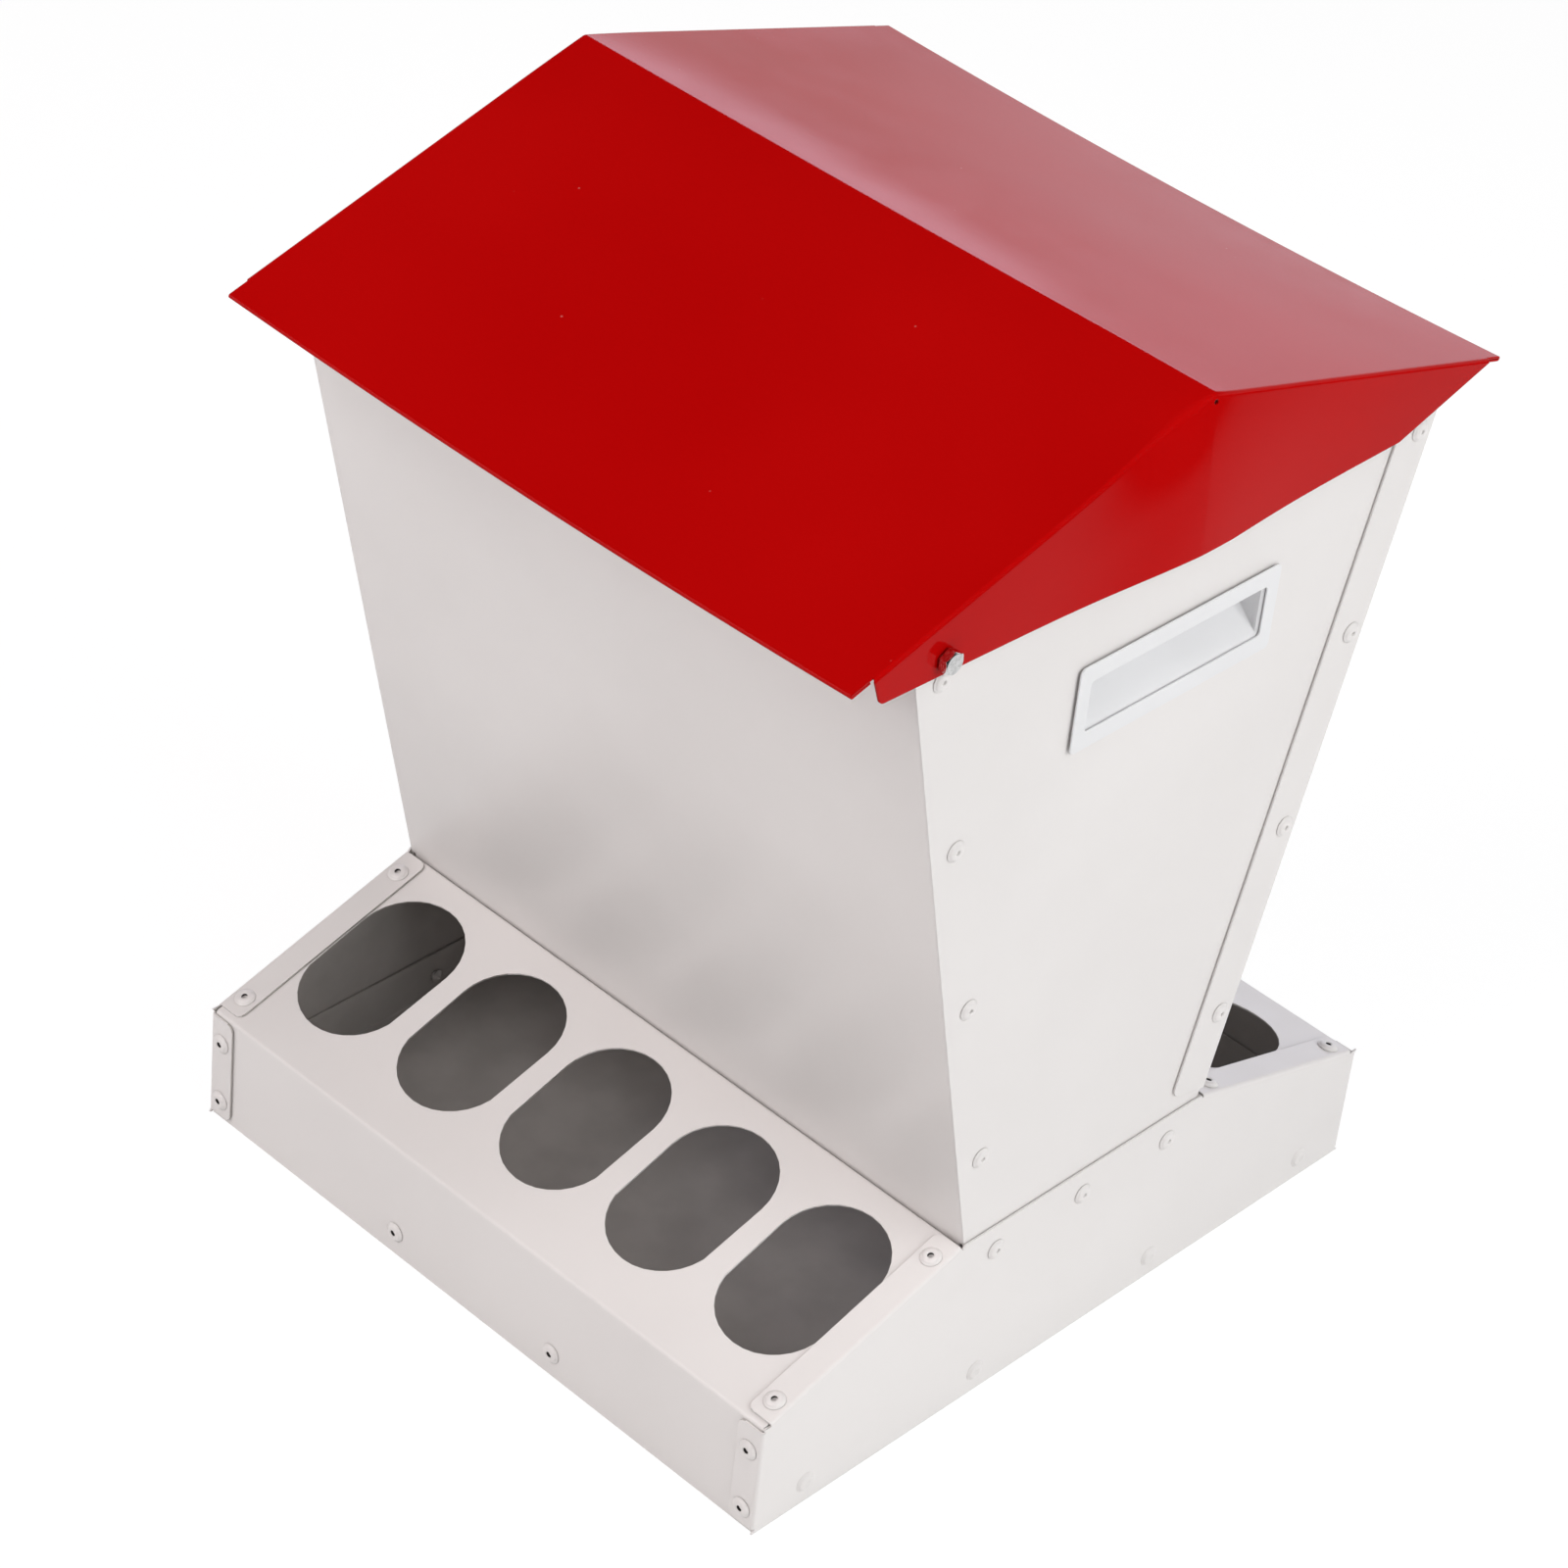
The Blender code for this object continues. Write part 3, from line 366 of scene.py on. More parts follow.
def bright_zinc(tree, shader):
    """Zinc-plated steel, slightly mottled."""
    mottle = tree.noise(scale=700.0, detail=3.0)
    tree.plug(shader, "Base Color", tree.blend(mottle, ZINC_LOW, ZINC_HIGH))
    shader.inputs["Metallic"].default_value = 1.0
    tree.plug(shader, "Roughness", tree.spread(mottle, *ZINC_ROUGHNESS))
    edges = tree.soft_edges(radius=0.0002)
    grain = tree.bump(tree.noise(scale=2600.0), distance=0.00005, strength=0.5, normal=edges)
    tree.plug(shader, "Normal", grain)


def moulded_plastic(tree, shader):
    """White moulded plastic, a little bluer and glossier than the paint."""
    tree.plug(shader, "Base Color", tree.blend(tree.noise(scale=30.0), PLASTIC_LOW, PLASTIC_HIGH))
    tree.plug(shader, "Roughness", tree.spread(tree.noise(scale=110.0), *PLASTIC_ROUGHNESS))
    tree.plug(shader, "Normal", tree.bump(tree.noise(scale=1400.0), distance=0.00003, strength=0.3))


def mandrel_and_bore_shade(tree, shader):
    """Nearly black, on the walls of a rivet's open bore: painted shade of the bore, with the dark steel
    of the mandrel's broken end.
    """
    grain = tree.noise(scale=3000.0)
    tree.plug(shader, "Base Color", tree.blend(grain, STUB_AND_BORE_SHADE_LOW, STUB_AND_BORE_SHADE_HIGH))
    shader.inputs["Metallic"].default_value = STUB_METALLIC
    tree.plug(shader, "Roughness", tree.spread(grain, *STUB_ROUGHNESS))


FINISHES = {
    "white_paint": principled("white_powder_coat", white_powder_coat),
    "base_paint_and_inner_shade": principled("paint_over_galvanised", paint_over_galvanised),
    # painted shade in the rivets' open bores, with the mandrel's steel
    "mandrel": principled("mandrel_and_bore_shade", mandrel_and_bore_shade),
    "red_paint": principled("red_gloss", red_gloss),
    "zinc": principled("bright_zinc", bright_zinc),
    "white_plastic": principled("moulded_plastic", moulded_plastic),
}


def dress_frame():
    """Give each node of the frame its finish: the base its own, with painted shade on its inner faces,
    the others by their material's name.
    """
    for name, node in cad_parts.items():
        in_base = name.startswith(("bottom_pan", "base_side", "tray_cover"))
        for material_slot in node.material_slots:
            finish = "base_paint_and_inner_shade" if in_base else material_slot.material.name.split(".")[0]
            material_slot.material = FINISHES[finish]


# Mesh helpers

SHARP_ANGLE = math.radians(35)
LATHE_MERGE = 0.000002
ROUND_SEGMENTS = 32


def finish_mesh(bm, name):
    """A smooth mesh that stays sharp where it turns enough."""
    mesh = bpy.data.meshes.new(name)
    bmesh.ops.recalc_face_normals(bm, faces=bm.faces)
    bm.to_mesh(mesh)
    bm.free()
    mesh.shade_smooth()
    mesh.set_sharp_from_angle(angle=SHARP_ANGLE)
    return mesh


def link_object(name, mesh, place):
    item = bpy.data.objects.new(name, mesh)
    bpy.context.scene.collection.objects.link(item)
    item.matrix_world = place or Matrix.Identity(4)
    return item


def add_piece(name, mesh, slot, body, place=None, replaced=()):
    """Add a visible piece that rides on a body and may stand in for nodes of the frame."""
    piece = link_object(name, mesh, place)
    if not mesh.materials:
        mesh.materials.append(FINISHES[slot])
    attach(piece, body)
    if replaced:
        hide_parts(*replaced)
    return piece


def add_tool(name, mesh, place=None):
    """A helper that is gone once the piece it cuts is settled."""
    tool = link_object(name, mesh, place)
    tool.hide_render = True
    return tool


def spread(first, last, count):
    """Even steps from first to last, both among them."""
    return [first + (last - first) * i / (count - 1) for i in range(count)]


def arc(first, last, count):
    """Even turns in radians, between angles given in degrees."""
    return [math.radians(angle) for angle in spread(first, last, count)]


def facing(direction):
    """A turn that brings Z to a direction."""
    return Vector(direction).to_track_quat("Z", "Y").to_matrix().to_4x4()


def lathe(name, outline, segments):
    """Turn an (r, z) outline about Z."""
    bm = bmesh.new()
    verts = [bm.verts.new((r, 0, z)) for r, z in outline]
    edges = [bm.edges.new(pair) for pair in zip(verts, verts[1:])]
    bmesh.ops.spin(
        bm, geom=verts + edges, axis=(0, 0, 1), cent=(0, 0, 0), angle=math.tau, steps=segments,
        use_merge=True,
    )
    bmesh.ops.remove_doubles(bm, verts=bm.verts, dist=LATHE_MERGE)
    return finish_mesh(bm, name)


def prism(name, radius, depth, segments, base=0.0):
    """An upright prism, round when it has many segments, from its base up."""
    bm = bmesh.new()
    bmesh.ops.create_cone(
        bm, cap_ends=True, segments=segments, radius1=radius, radius2=radius, depth=depth,
        matrix=Matrix.Translation((0, 0, base + depth / 2)),
    )
    return finish_mesh(bm, name)


def combine(piece, tool, operation):
    modifier = piece.modifiers.new(tool.name, "BOOLEAN")
    modifier.operation = operation
    modifier.solver = "EXACT"
    modifier.object = tool


def settle(piece):
    """Apply a piece's modifiers to its mesh and remove the objects that they used."""
    tools = [modifier.object for modifier in piece.modifiers if getattr(modifier, "object", None)]
    bpy.context.view_layer.update()
    evaluated = piece.evaluated_get(bpy.context.evaluated_depsgraph_get())
    mesh = bpy.data.meshes.new_from_object(evaluated)
    piece.modifiers.clear()
    piece.data = mesh
    for tool in tools:
        bpy.data.objects.remove(tool)


# Lid

LID_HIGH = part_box("lid")[1]
LID_END = LID_HIGH.x
EAVE_REACH = LID_HIGH.y
RIDGE_HEIGHT = LID_HIGH.z + RIDGE_RADIUS / math.cos(ROOF_PITCH) - RIDGE_RADIUS
SKIRT_FRONT = SKIRT_FRONT_GAP - EAVE_REACH
SKIRT_BACK = EAVE_REACH - SKIRT_BACK_GAP


def roof_line(y):
    """Outer face of the roof across the ridge, were its fold sharp."""
    return RIDGE_HEIGHT - math.tan(ROOF_PITCH) * abs(y)


def roof_sag(x, y):
    """How far the roof hangs, most at mid-span of its eaves."""
    return ROOF_SAG * (y / EAVE_REACH) ** 2 * (1 - (x / LID_END) ** 2)


def ridge_ease(x, y):
    """How far the slope lies below its plane beside the ridge."""
    crown = max(0.0, 1 - ((x - RIDGE_EASE_MIDDLE) / RIDGE_EASE_REACH) ** 2)
    return crown * max(0.0, RIDGE_EASE - abs(y)) ** 2 * math.tan(RIDGE_EASE_SLOPE) / (2 * RIDGE_EASE)


def roof_height(y):
    """Outer face of the roof across the ridge, whose fold is rounded."""
    if abs(y) >= RIDGE_RADIUS * math.sin(ROOF_PITCH):
        return roof_line(y)
    crown = RIDGE_HEIGHT - RIDGE_RADIUS / math.cos(ROOF_PITCH)
    return crown + math.sqrt(RIDGE_RADIUS ** 2 - y ** 2)


def swell(y, window):
    """1 at a place along the verge, fading to 0 at unlike rates to the front and back."""
    place, front, back = window
    fade = back if y > place else front
    return math.exp(-((y - place) / fade) ** 2)


def softness(y, uneven):
    """How wide the fold over a skirt is, from 0 for an even one to 1."""
    return swell(y, SOFT_FOLD_WINDOW) if uneven else 0.0


def fold_radius(soft):
    """Outer radius of the fold over a skirt."""
    return BEND_RADIUS + (SOFT_FOLD - BEND_RADIUS) * soft


def skirt_offset(y, depth, uneven):
    """How far a skirt stands out of its plane, at a depth below the fold."""
    if not uneven:
        return 0.0
    lean = SKIRT_LEAN * swell(y, SKIRT_LEAN_WINDOW)
    lean *= max(0.0, 1 - depth / SKIRT_LEAN_DEPTH) ** SKIRT_LEAN_POWER
    return math.tan(SKIRT_FLARE) * swell(y, SKIRT_FLARE_WINDOW) * depth - lean


def fold_end(y, uneven):
    """Where the flat roof ends and the fold over the skirt begins."""
    return LID_END + skirt_offset(y, 0, uneven) - fold_radius(softness(y, uneven))


def roof_droop(inward, soft):
    """How far the roof's edge hangs beside the wide fold, this far in from the skirt."""
    return ROOF_DROOP * soft * max(0.0, 1 - inward / ROOF_DROOP_REACH) ** 2


def corner_arc(before, corner, after):
    """Points of a round corner of the skirt."""
    corner = Vector(corner)
    to_before = (Vector(before) - corner).normalized()
    to_after = (Vector(after) - corner).normalized()
    half = to_before.angle(to_after) / 2
    middle = corner + (to_before + to_after).normalized() * SKIRT_CORNER / math.sin(half)
    first = corner + to_before * SKIRT_CORNER / math.tan(half)
    last = corner + to_after * SKIRT_CORNER / math.tan(half)
    start, end = first - middle, last - middle
    turn = start.angle_signed(end)
    points = []
    for step in range(SKIRT_CORNER_STEPS + 1):
        angle = -turn * step / SKIRT_CORNER_STEPS
        spin = Matrix.Rotation(angle, 2)
        points.append(middle + spin @ start)
    return points


def skirt_edge():
    """(y, z) along the lower edge of the skirt, from its front end to its back end."""
    front_y = SKIRT_FRONT + SKIRT_FRONT_TAPER
    clip_y = EAVE_REACH - SKIRT_CLIP_REACH
    drop = BEND_RADIUS / math.cos(ROOF_PITCH)
    top_front = (SKIRT_FRONT, roof_line(SKIRT_FRONT) - drop)
    front = (front_y, roof_line(front_y) - SKIRT_FRONT_DEPTH)
    low = Vector((SKIRT_RIDGE_DEPTH * math.tan(ROOF_PITCH), RIDGE_HEIGHT - SKIRT_RIDGE_DEPTH))
    clip = (clip_y, roof_line(clip_y) - SKIRT_CLIP_DEPTH)
    back = Vector((SKIRT_BACK, roof_line(SKIRT_BACK) - drop))
    front_arc = corner_arc(top_front, front, low)
    back_arc = corner_arc(low, clip, back)
    to_low, to_clip, to_back = SKIRT_EDGE_STEPS
    return (
        front_arc + run(front_arc[-1], low, to_low) + [low] + run(low, back_arc[0], to_clip)
        + back_arc + run(back_arc[-1], back, to_back) + [back]
    )


def run(start, end, steps):
    """Points between two ends, without them."""
    return [start.lerp(end, i / steps) for i in range(1, steps)]


def skirt_rows():
    """Places along the verge, each with the point of the skirt's lower edge that lies below it."""
    edge = skirt_edge()
    first, last = edge[0].x, edge[-1].x
    stretch = (SKIRT_BACK - SKIRT_FRONT) / (last - first)
    shoulder = RIDGE_RADIUS * math.sin(ROOF_PITCH)
    ridge_rows = spread(-shoulder, shoulder, RIDGE_STEPS + 1)
    rows = [(SKIRT_FRONT + (point.x - first) * stretch, point) for point in edge]
    rows = [row for row in rows if abs(row[0]) > 2 * shoulder]
    for y in ridge_rows:
        edge_y = first + (y - SKIRT_FRONT) / stretch
        after = next(i for i, point in enumerate(edge) if point.x > edge_y)
        before, beyond = edge[after - 1], edge[after]
        rows.append((y, before.lerp(beyond, (edge_y - before.x) / (beyond.x - before.x))))
    return sorted(rows, key=lambda row: row[0])


def hem_half():
    """(y, z) round the hem and back under the roof, past the end of the skirt."""
    outward = Vector((math.sin(ROOF_PITCH), math.cos(ROOF_PITCH)))
    downhill = Vector((math.cos(ROOF_PITCH), -math.sin(ROOF_PITCH)))
    radius = SHEET + HEM_GAP / 2
    edge_y = EAVE_REACH - radius * (1 - math.sin(ROOF_PITCH))
    top = Vector((edge_y, roof_line(edge_y)))
    middle = top - outward * radius
    points = [top]
    for angle in spread(math.pi / HEM_STEPS, math.pi, HEM_STEPS):
        points.append(middle + radius * (outward * math.cos(angle) + downhill * math.sin(angle)))
    points.append(points[-1] - downhill * HEM_WIDTH)
    return points


def skirt_wing(y, z, low, uneven):
    """(x, y, z) from the end of the flat roof, round the fold and down the skirt."""
    soft = softness(y, uneven)
    radius = fold_radius(soft)
    probe = radius * FOLD_PROBE
    inner_droop, outer_droop = roof_droop(radius * (1 - FOLD_PROBE), soft), roof_droop(radius, soft)
    upper, lower = skirt_offset(y, radius, uneven), skirt_offset(y, radius * (1 + FOLD_PROBE), uneven)
    start = Vector((fold_end(y, uneven), -outer_droop))
    end = Vector((LID_END + upper, -radius))
    handle = radius * ARC_HANDLE
    before = start + Vector((handle, -handle * (inner_droop - outer_droop) / probe))
    after = end + Vector((-handle * (lower - upper) / probe, handle))
    points = []
    # Round the fold along a cubic curve
    for share in spread(1 / VERGE_STEPS, 1, VERGE_STEPS):
        rest = 1 - share
        near = start * rest ** 3 + before * 3 * rest ** 2 * share
        place = near + after * 3 * rest * share ** 2 + end * share ** 3
        points.append((place.x, y, z + place.y / math.cos(ROOF_PITCH)))
    # Down the skirt to its lower edge
    top_y, top_z = points[-1][1:]
    for step in range(1, SKIRT_ROWS + 1):
        share = (step / SKIRT_ROWS) ** SKIRT_ROW_CROWDING
        across, height = top_y + (low.x - top_y) * share, top_z + (low.y - top_z) * share
        depth = radius + (top_z - height) * math.cos(ROOF_PITCH)
        points.append((LID_END + skirt_offset(y, depth, uneven), across, height))
    return points


def roof_row(y, uneven):
    """(x, droop) along the flat roof, from its left end to its right one."""
    soft = softness(y, uneven)
    end = fold_end(y, uneven)
    inner = LID_END - EDGE_STRIP
    across = spread(BEND_RADIUS - LID_END, -inner, EDGE_COLUMNS)
    across += spread(-inner, inner, ROOF_COLUMNS)[1:-1] + spread(inner, end, EDGE_COLUMNS)
    return [(x, roof_droop(end + fold_radius(soft) - x, soft)) for x in across]


def join_rows(bm, near, far):
    """Faces between two rows of points."""
    for i in range(len(near) - 1):
        bm.faces.new((near[i], near[i + 1], far[i + 1], far[i]))


def lid_surface():
    """Outer face of the lid: two slopes, hems along the eaves and a skirt at each gable."""
    bm = bmesh.new()
    rows = [(-y, z, None) for y, z in reversed(hem_half())]
    rows += [(y, roof_height(y), low) for y, low in skirt_rows()]
    rows += [(y, z, None) for y, z in hem_half()]
    last = None
    for y, z, low in rows:
        roof = [bm.verts.new((x, y, z - droop)) for x, droop in roof_row(y, low is not None)]
        wings = []
        if low is not None:
            for side, end in ((-1, roof[0]), (1, roof[-1])):
                wing = skirt_wing(y, z, low, side > 0)
                wings.append([end] + [bm.verts.new((side * x, wy, wz)) for x, wy, wz in wing])
        if last:
            join_rows(bm, last[0], roof)
            for near, far in zip(last[1], wings):
                join_rows(bm, near, far)
        last = (roof, wings)
    bmesh.ops.remove_doubles(bm, verts=bm.verts, dist=LID_MERGE)
    for vert in bm.verts:
        vert.co.z -= roof_sag(vert.co.x, vert.co.y) + ridge_ease(vert.co.x, vert.co.y)
    bmesh.ops.recalc_face_normals(bm, faces=bm.faces)
    bm.normal_update()
    top = max(bm.faces, key=lambda face: abs(face.normal.z) * face.calc_area())
    if top.normal.z < 0:
        bmesh.ops.reverse_faces(bm, faces=bm.faces)
    mesh = bpy.data.meshes.new("lid_shell")
    bm.to_mesh(mesh)
    bm.free()
    mesh.shade_smooth()
    return mesh


def cross_rod(name, diameter, y, z):
    """A rod right across the lid, to cut a hole in both skirts."""
    length = 2 * LID_END + 4 * SHEET
    place = Matrix.Translation((0, y, z)) @ facing((1, 0, 0))
    return add_tool(name, prism(name, diameter / 2, length, ROUND_SEGMENTS, -length / 2), place)


def dress_lid():
    """The lid as one folded sheet, with the bolts' holes and the relief holes cut through."""
    lid = add_piece("lid_shell", lid_surface(), "red_paint", "lid", replaced=["lid"])
    thick = lid.modifiers.new("sheet", "SOLIDIFY")
    thick.thickness = SHEET
    thick.offset = -1
    thick.use_even_offset = True
    bolt_low, bolt_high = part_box("hinge_bolt_right")
    hinge = (bolt_low + bolt_high) / 2
    hole = cross_rod("hinge_hole_tool", HINGE_HOLE, hinge.y, hinge.z)
    relief = cross_rod("relief_tool", RELIEF_DIAMETER, 0, RIDGE_HEIGHT - RELIEF_DROP)
    for tool in (hole, relief):
        combine(lid, tool, "DIFFERENCE")
    settle(lid)
    lid.data.set_sharp_from_angle(angle=LID_SHARP_ANGLE)
    lid.modifiers.new("even_shading", "WEIGHTED_NORMAL").keep_sharp = True


# Rivets

def rivet_outline(sheets, bore_size, cover=0.0):
    """(r, z) of a pulled rivet: a dome on a thin flange; z = 0 is the sheet's face."""
    bore, bore_depth = bore_size[0] / 2, bore_size[1]
    rim = RIVET_HEAD / 2 + cover
    rim_top = RIVET_RIM + cover
    top = RIVET_SEAT + RIVET_HEAD_HEIGHT + cover
    foot = top - RIVET_DOME_HEIGHT
    floor = top - bore_depth
    lip, dome = bore + RIVET_LIP, RIVET_DOME / 2
    points = [(0, floor), (bore * BORE_FLOOR, floor), (bore, top - bore_depth * BORE_WALL)]
    for turn in arc(0, 90, 4):
        points.append((lip - RIVET_LIP * math.cos(turn), top - RIVET_LIP * (1 - math.sin(turn))))
    for turn in arc(15, 80, 8):
        drop = RIVET_DOME_HEIGHT * (1 - math.cos(turn))
        points.append((lip + (dome - lip) * math.sin(turn), top - drop))
    points += [(dome + RIVET_BEVEL, foot), (rim - RIVET_RIM_BEVEL, rim_top), (rim, rim_top - RIVET_BEVEL)]
    points += [(rim, RIVET_SEAT), (rim - RIVET_UNDERCUT, RIVET_LIFT)]
    return points + (rivet_tail(sheets) if sheets else [])


def rivet_tail(sheets):
    """(r, z) of the shank through the sheets and of the tail that swells behind them."""
    shank, tail, third = RIVET_SHANK / 2, RIVET_TAIL / 2, RIVET_TAIL_LENGTH / 3
    inside = -sheets * SHEET - (sheets - 1) * SHEET_GAP - RIVET_SEAT
    points = [(shank, RIVET_LIFT), (shank, inside)]
    for turn in arc(20, 90, 6):
        points.append((shank + (tail - shank) * math.sin(turn), inside - third * (1 - math.cos(turn))))
    for turn in arc(15, 90, 7):
        points.append((tail * math.cos(turn), inside - third * (1 + 2 * math.sin(turn))))
    return points


def rivet_mesh(name, sheets, bore_size, cover=0.0):
    """A turned rivet: painted head, an open bore whose walls are nearly black as painted shade and
    mandrel steel, and a bare tail.
    """
    mesh = lathe(name, rivet_outline(sheets, bore_size, cover), RIVET_SEGMENTS)
    for finish in ("white_paint", "mandrel", "zinc"):
        mesh.materials.append(FINISHES[finish])
    reach = bore_size[0] / 2 * BORE_MARGIN if bore_size == OPEN_BORE else 0.0
    for face in mesh.polygons:
        if face.center.z < -SHEET:
            face.material_index = 2
        # the open bore's walls take the nearly black finish: painted shade, with the mandrel's steel
        elif face.center.z > 0 and face.center.xy.length < reach:
            face.material_index = 1
    return mesh


def rivet_direction(name):
    """Outward axis of a rivet, from its name and, on a slope, from its neighbour."""
    parts = name.split("_")
    side = 1 if "right" in parts else -1
    end = -1 if "front" in parts else 1
    if parts[1] in ("corner", "waist"):
        return Vector((side, 0, 0))
    if parts[1] == "slope":
        stem = name.rsplit("_", 1)[0]
        low, high = [sum(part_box(f"{stem}_{i}"), Vector()) / 2 for i in (1, 2)]
        along = high - low
        return Vector((0, end * along.z, abs(along.y))).normalized()
    return Vector((0, end, 0))


def dress_rivets():
    """A fine rivet for each of the frame's plain ones, set by its outermost point."""
    shapes = {}
    for name in sorted(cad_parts):
        if not name.startswith("rivet_"):
            continue
        sheets = 3 if "_low_" in name else 2
        bore_size = PAINTED_BORE if name.startswith(("rivet_corner", "rivet_waist")) else OPEN_BORE
        kind = (sheets, bore_size)
        if kind not in shapes:
            shapes[kind] = rivet_mesh(f"rivet_{len(shapes)}", *kind)
        axis = rivet_direction(name)
        points = [vert.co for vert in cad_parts[name].data.vertices]
        middle = sum(points, Vector()) / len(points)
        reach = max(point.dot(axis) for point in points)
        face = middle + axis * (reach - middle.dot(axis) - RIVET_SEAT - RIVET_HEAD_HEIGHT)
        place = Matrix.Translation(face) @ facing(axis)
        add_piece(f"{name}_fine", shapes[kind], "white_paint", "feeder", place, [name])


def dress_base_rivets():
    """Fine heads over the rivets that are one with the base's sides."""
    bore_size = (PAINTED_BORE[0], BASE_RIVET_COVER * BASE_RIVET_BORE)
    mesh = rivet_mesh("base_rivet", 0, bore_size, BASE_RIVET_COVER)
    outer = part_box("base_side_right")[1].y - BASE_RIVET_INSET
    face = BASE_RIVET_FACE - RIVET_SEAT - BASE_RIVET_SINK
    for side_name, side in SIDE_NAMES:
        for number, y in enumerate((-outer, -BASE_RIVET_OFFSET, BASE_RIVET_OFFSET, outer), 1):
            place = Matrix.Translation((side * face, y, BASE_RIVET_HEIGHT)) @ facing((side, 0, 0))
            add_piece(f"base_rivet_{side_name}_{number}", mesh, "white_paint", "feeder", place)


# Hopper corners

def hopper_face(height):
    """Half the hopper's outside depth at this height."""
    return THROAT_DEPTH / 2 + math.tan(HOPPER_LEAN) * (height - SHOULDER_HEIGHT)


def dress_corner(name, side):
    """Paint that fills the groove between the front panel's fold and the side panel's edge."""
    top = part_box("hopper_front")[1].z
    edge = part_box(f"hopper_side_{name}")
    face = max(abs(edge[0].x), abs(edge[1].x))
    section = (
        (face - GROOVE_INNER, GROOVE_INNER_DEPTH), (face - GROOVE_TURN, -PAINT_PROUD),
        (face - GROOVE_LIP, -PAINT_PROUD), (face - GROOVE_OUTER, GROOVE_DEPTH),
        (face - GROOVE_INNER, GROOVE_DEPTH),
    )
    bm = bmesh.new()
    rings = []
    for z in (SHOULDER_HEIGHT - GROOVE_SPARE[0], top - GROOVE_SPARE[1]):
        rings.append([bm.verts.new((side * x, -hopper_face(z) + y, z)) for x, y in section])
    for i in range(len(section)):
        j = (i + 1) % len(section)
        bm.faces.new((rings[0][i], rings[0][j], rings[1][j], rings[1][i]))
    for ring in rings:
        bm.faces.new(ring)
    piece_name = f"corner_paint_{name}"
    add_piece(piece_name, finish_mesh(bm, piece_name), "white_paint", "feeder")


# Handles

def rounded_rectangle(bottom, top, half_width, radius):
    """(y, z) points round a rectangle with round corners."""
    radius = min(radius, CORNER_SHARE * (top - bottom))
    points = []
    corners = (
        (half_width - radius, top - radius, 0), (radius - half_width, top - radius, 90),
        (radius - half_width, bottom + radius, 180), (half_width - radius, bottom + radius, 270),
    )
    for y, z, start in corners:
        for turn in arc(start, start + 90, HANDLE_CORNER_STEPS + 1):
            points.append((y + radius * math.cos(turn), z + radius * math.sin(turn)))
    return points


def frame_outline(grow):
    """The frame's outer edge, set outwards by grow."""
    half = HANDLE_HEIGHT / 2 + grow
    return rounded_rectangle(-half, half, HANDLE_WIDTH / 2 + grow, HANDLE_CORNER + grow)


def mouth_outline(grow):
    """The edge of the opening to the pocket, set outwards by grow."""
    half = GRIP_HEIGHT / 2 + grow
    return rounded_rectangle(-half, half, GRIP_WIDTH / 2 + grow, GRIP_CORNER + max(grow, 0))


def loft(name, layers, closed):
    """Skin over rings of points; each layer is a depth and its outline."""
    bm = bmesh.new()
    rings = [[bm.verts.new((x, y, z)) for y, z in outline] for x, outline in layers]
    pairs = list(zip(rings, rings[1:])) + ([(rings[-1], rings[0])] if closed else [])
    for near, far in pairs:
        for i in range(len(near)):
            j = (i + 1) % len(near)
            bm.faces.new((near[i], near[j], far[j], far[i]))
    if not closed:
        bm.faces.new(rings[-1])
    return finish_mesh(bm, name)


def quarter_turn(x, radius, outward):
    """(x, grow) pairs that round an edge from its side to its face, or back when outward is -1."""
    pairs = []
    for turn in arc(0, 90, ROUNDING_POINTS):
        inset = radius * (1 - math.cos(turn))
        rise = radius * (1 - math.sin(turn))
        pairs.append((x - rise, -outward * inset))
    return pairs if outward > 0 else pairs[::-1]


def bezel_mesh(name):
    """Frame of the handle, a rounded plate that stands a little off the panel."""
    front = HANDLE_GAP + HANDLE_PLATE
    back = front - BEZEL_THICKNESS
    layers = [(x, frame_outline(grow)) for x, grow in quarter_turn(front, BEZEL_ROUNDING, 1)]
    layers += [(x, mouth_outline(grow)) for x, grow in quarter_turn(front, MOUTH_ROUNDING, -1)]
    layers += [
        (back + BACK_ROUNDING, mouth_outline(0)),
        (back, mouth_outline(BACK_ROUNDING)),
        (back, frame_outline(-BACK_ROUNDING)),
        (back + BACK_ROUNDING, frame_outline(0)),
    ]
    return loft(name, layers, True)


def pocket_mesh(name):
    """Finger pocket behind the frame; its floor rises inwards to the ceiling's far end."""
    back = HANDLE_GAP + HANDLE_PLATE - BEZEL_THICKNESS
    mouth = back - MOUTH_SLOT
    layers = [(back, mouth_outline(RIM_REACH)), (mouth, mouth_outline(RIM_REACH))]
    layers += [(mouth - depth, mouth_outline(grow)) for depth, grow in POCKET_LIP]
    start = layers[-1][0]
    deep = HANDLE_GAP + HANDLE_PLATE - GRIP_DEPTH
    rise = GRIP_DEPTH * math.tan(GRIP_SLOPE)
    for step in range(1, POCKET_STEPS + 1):
        share = step / POCKET_STEPS
        bottom = -GRIP_HEIGHT / 2 + rise * share ** POCKET_POWER
        outline = rounded_rectangle(bottom, GRIP_HEIGHT / 2, GRIP_WIDTH / 2, GRIP_CORNER)
        layers.append((start + (deep - start) * share, outline))
    return loft(name, layers, False)


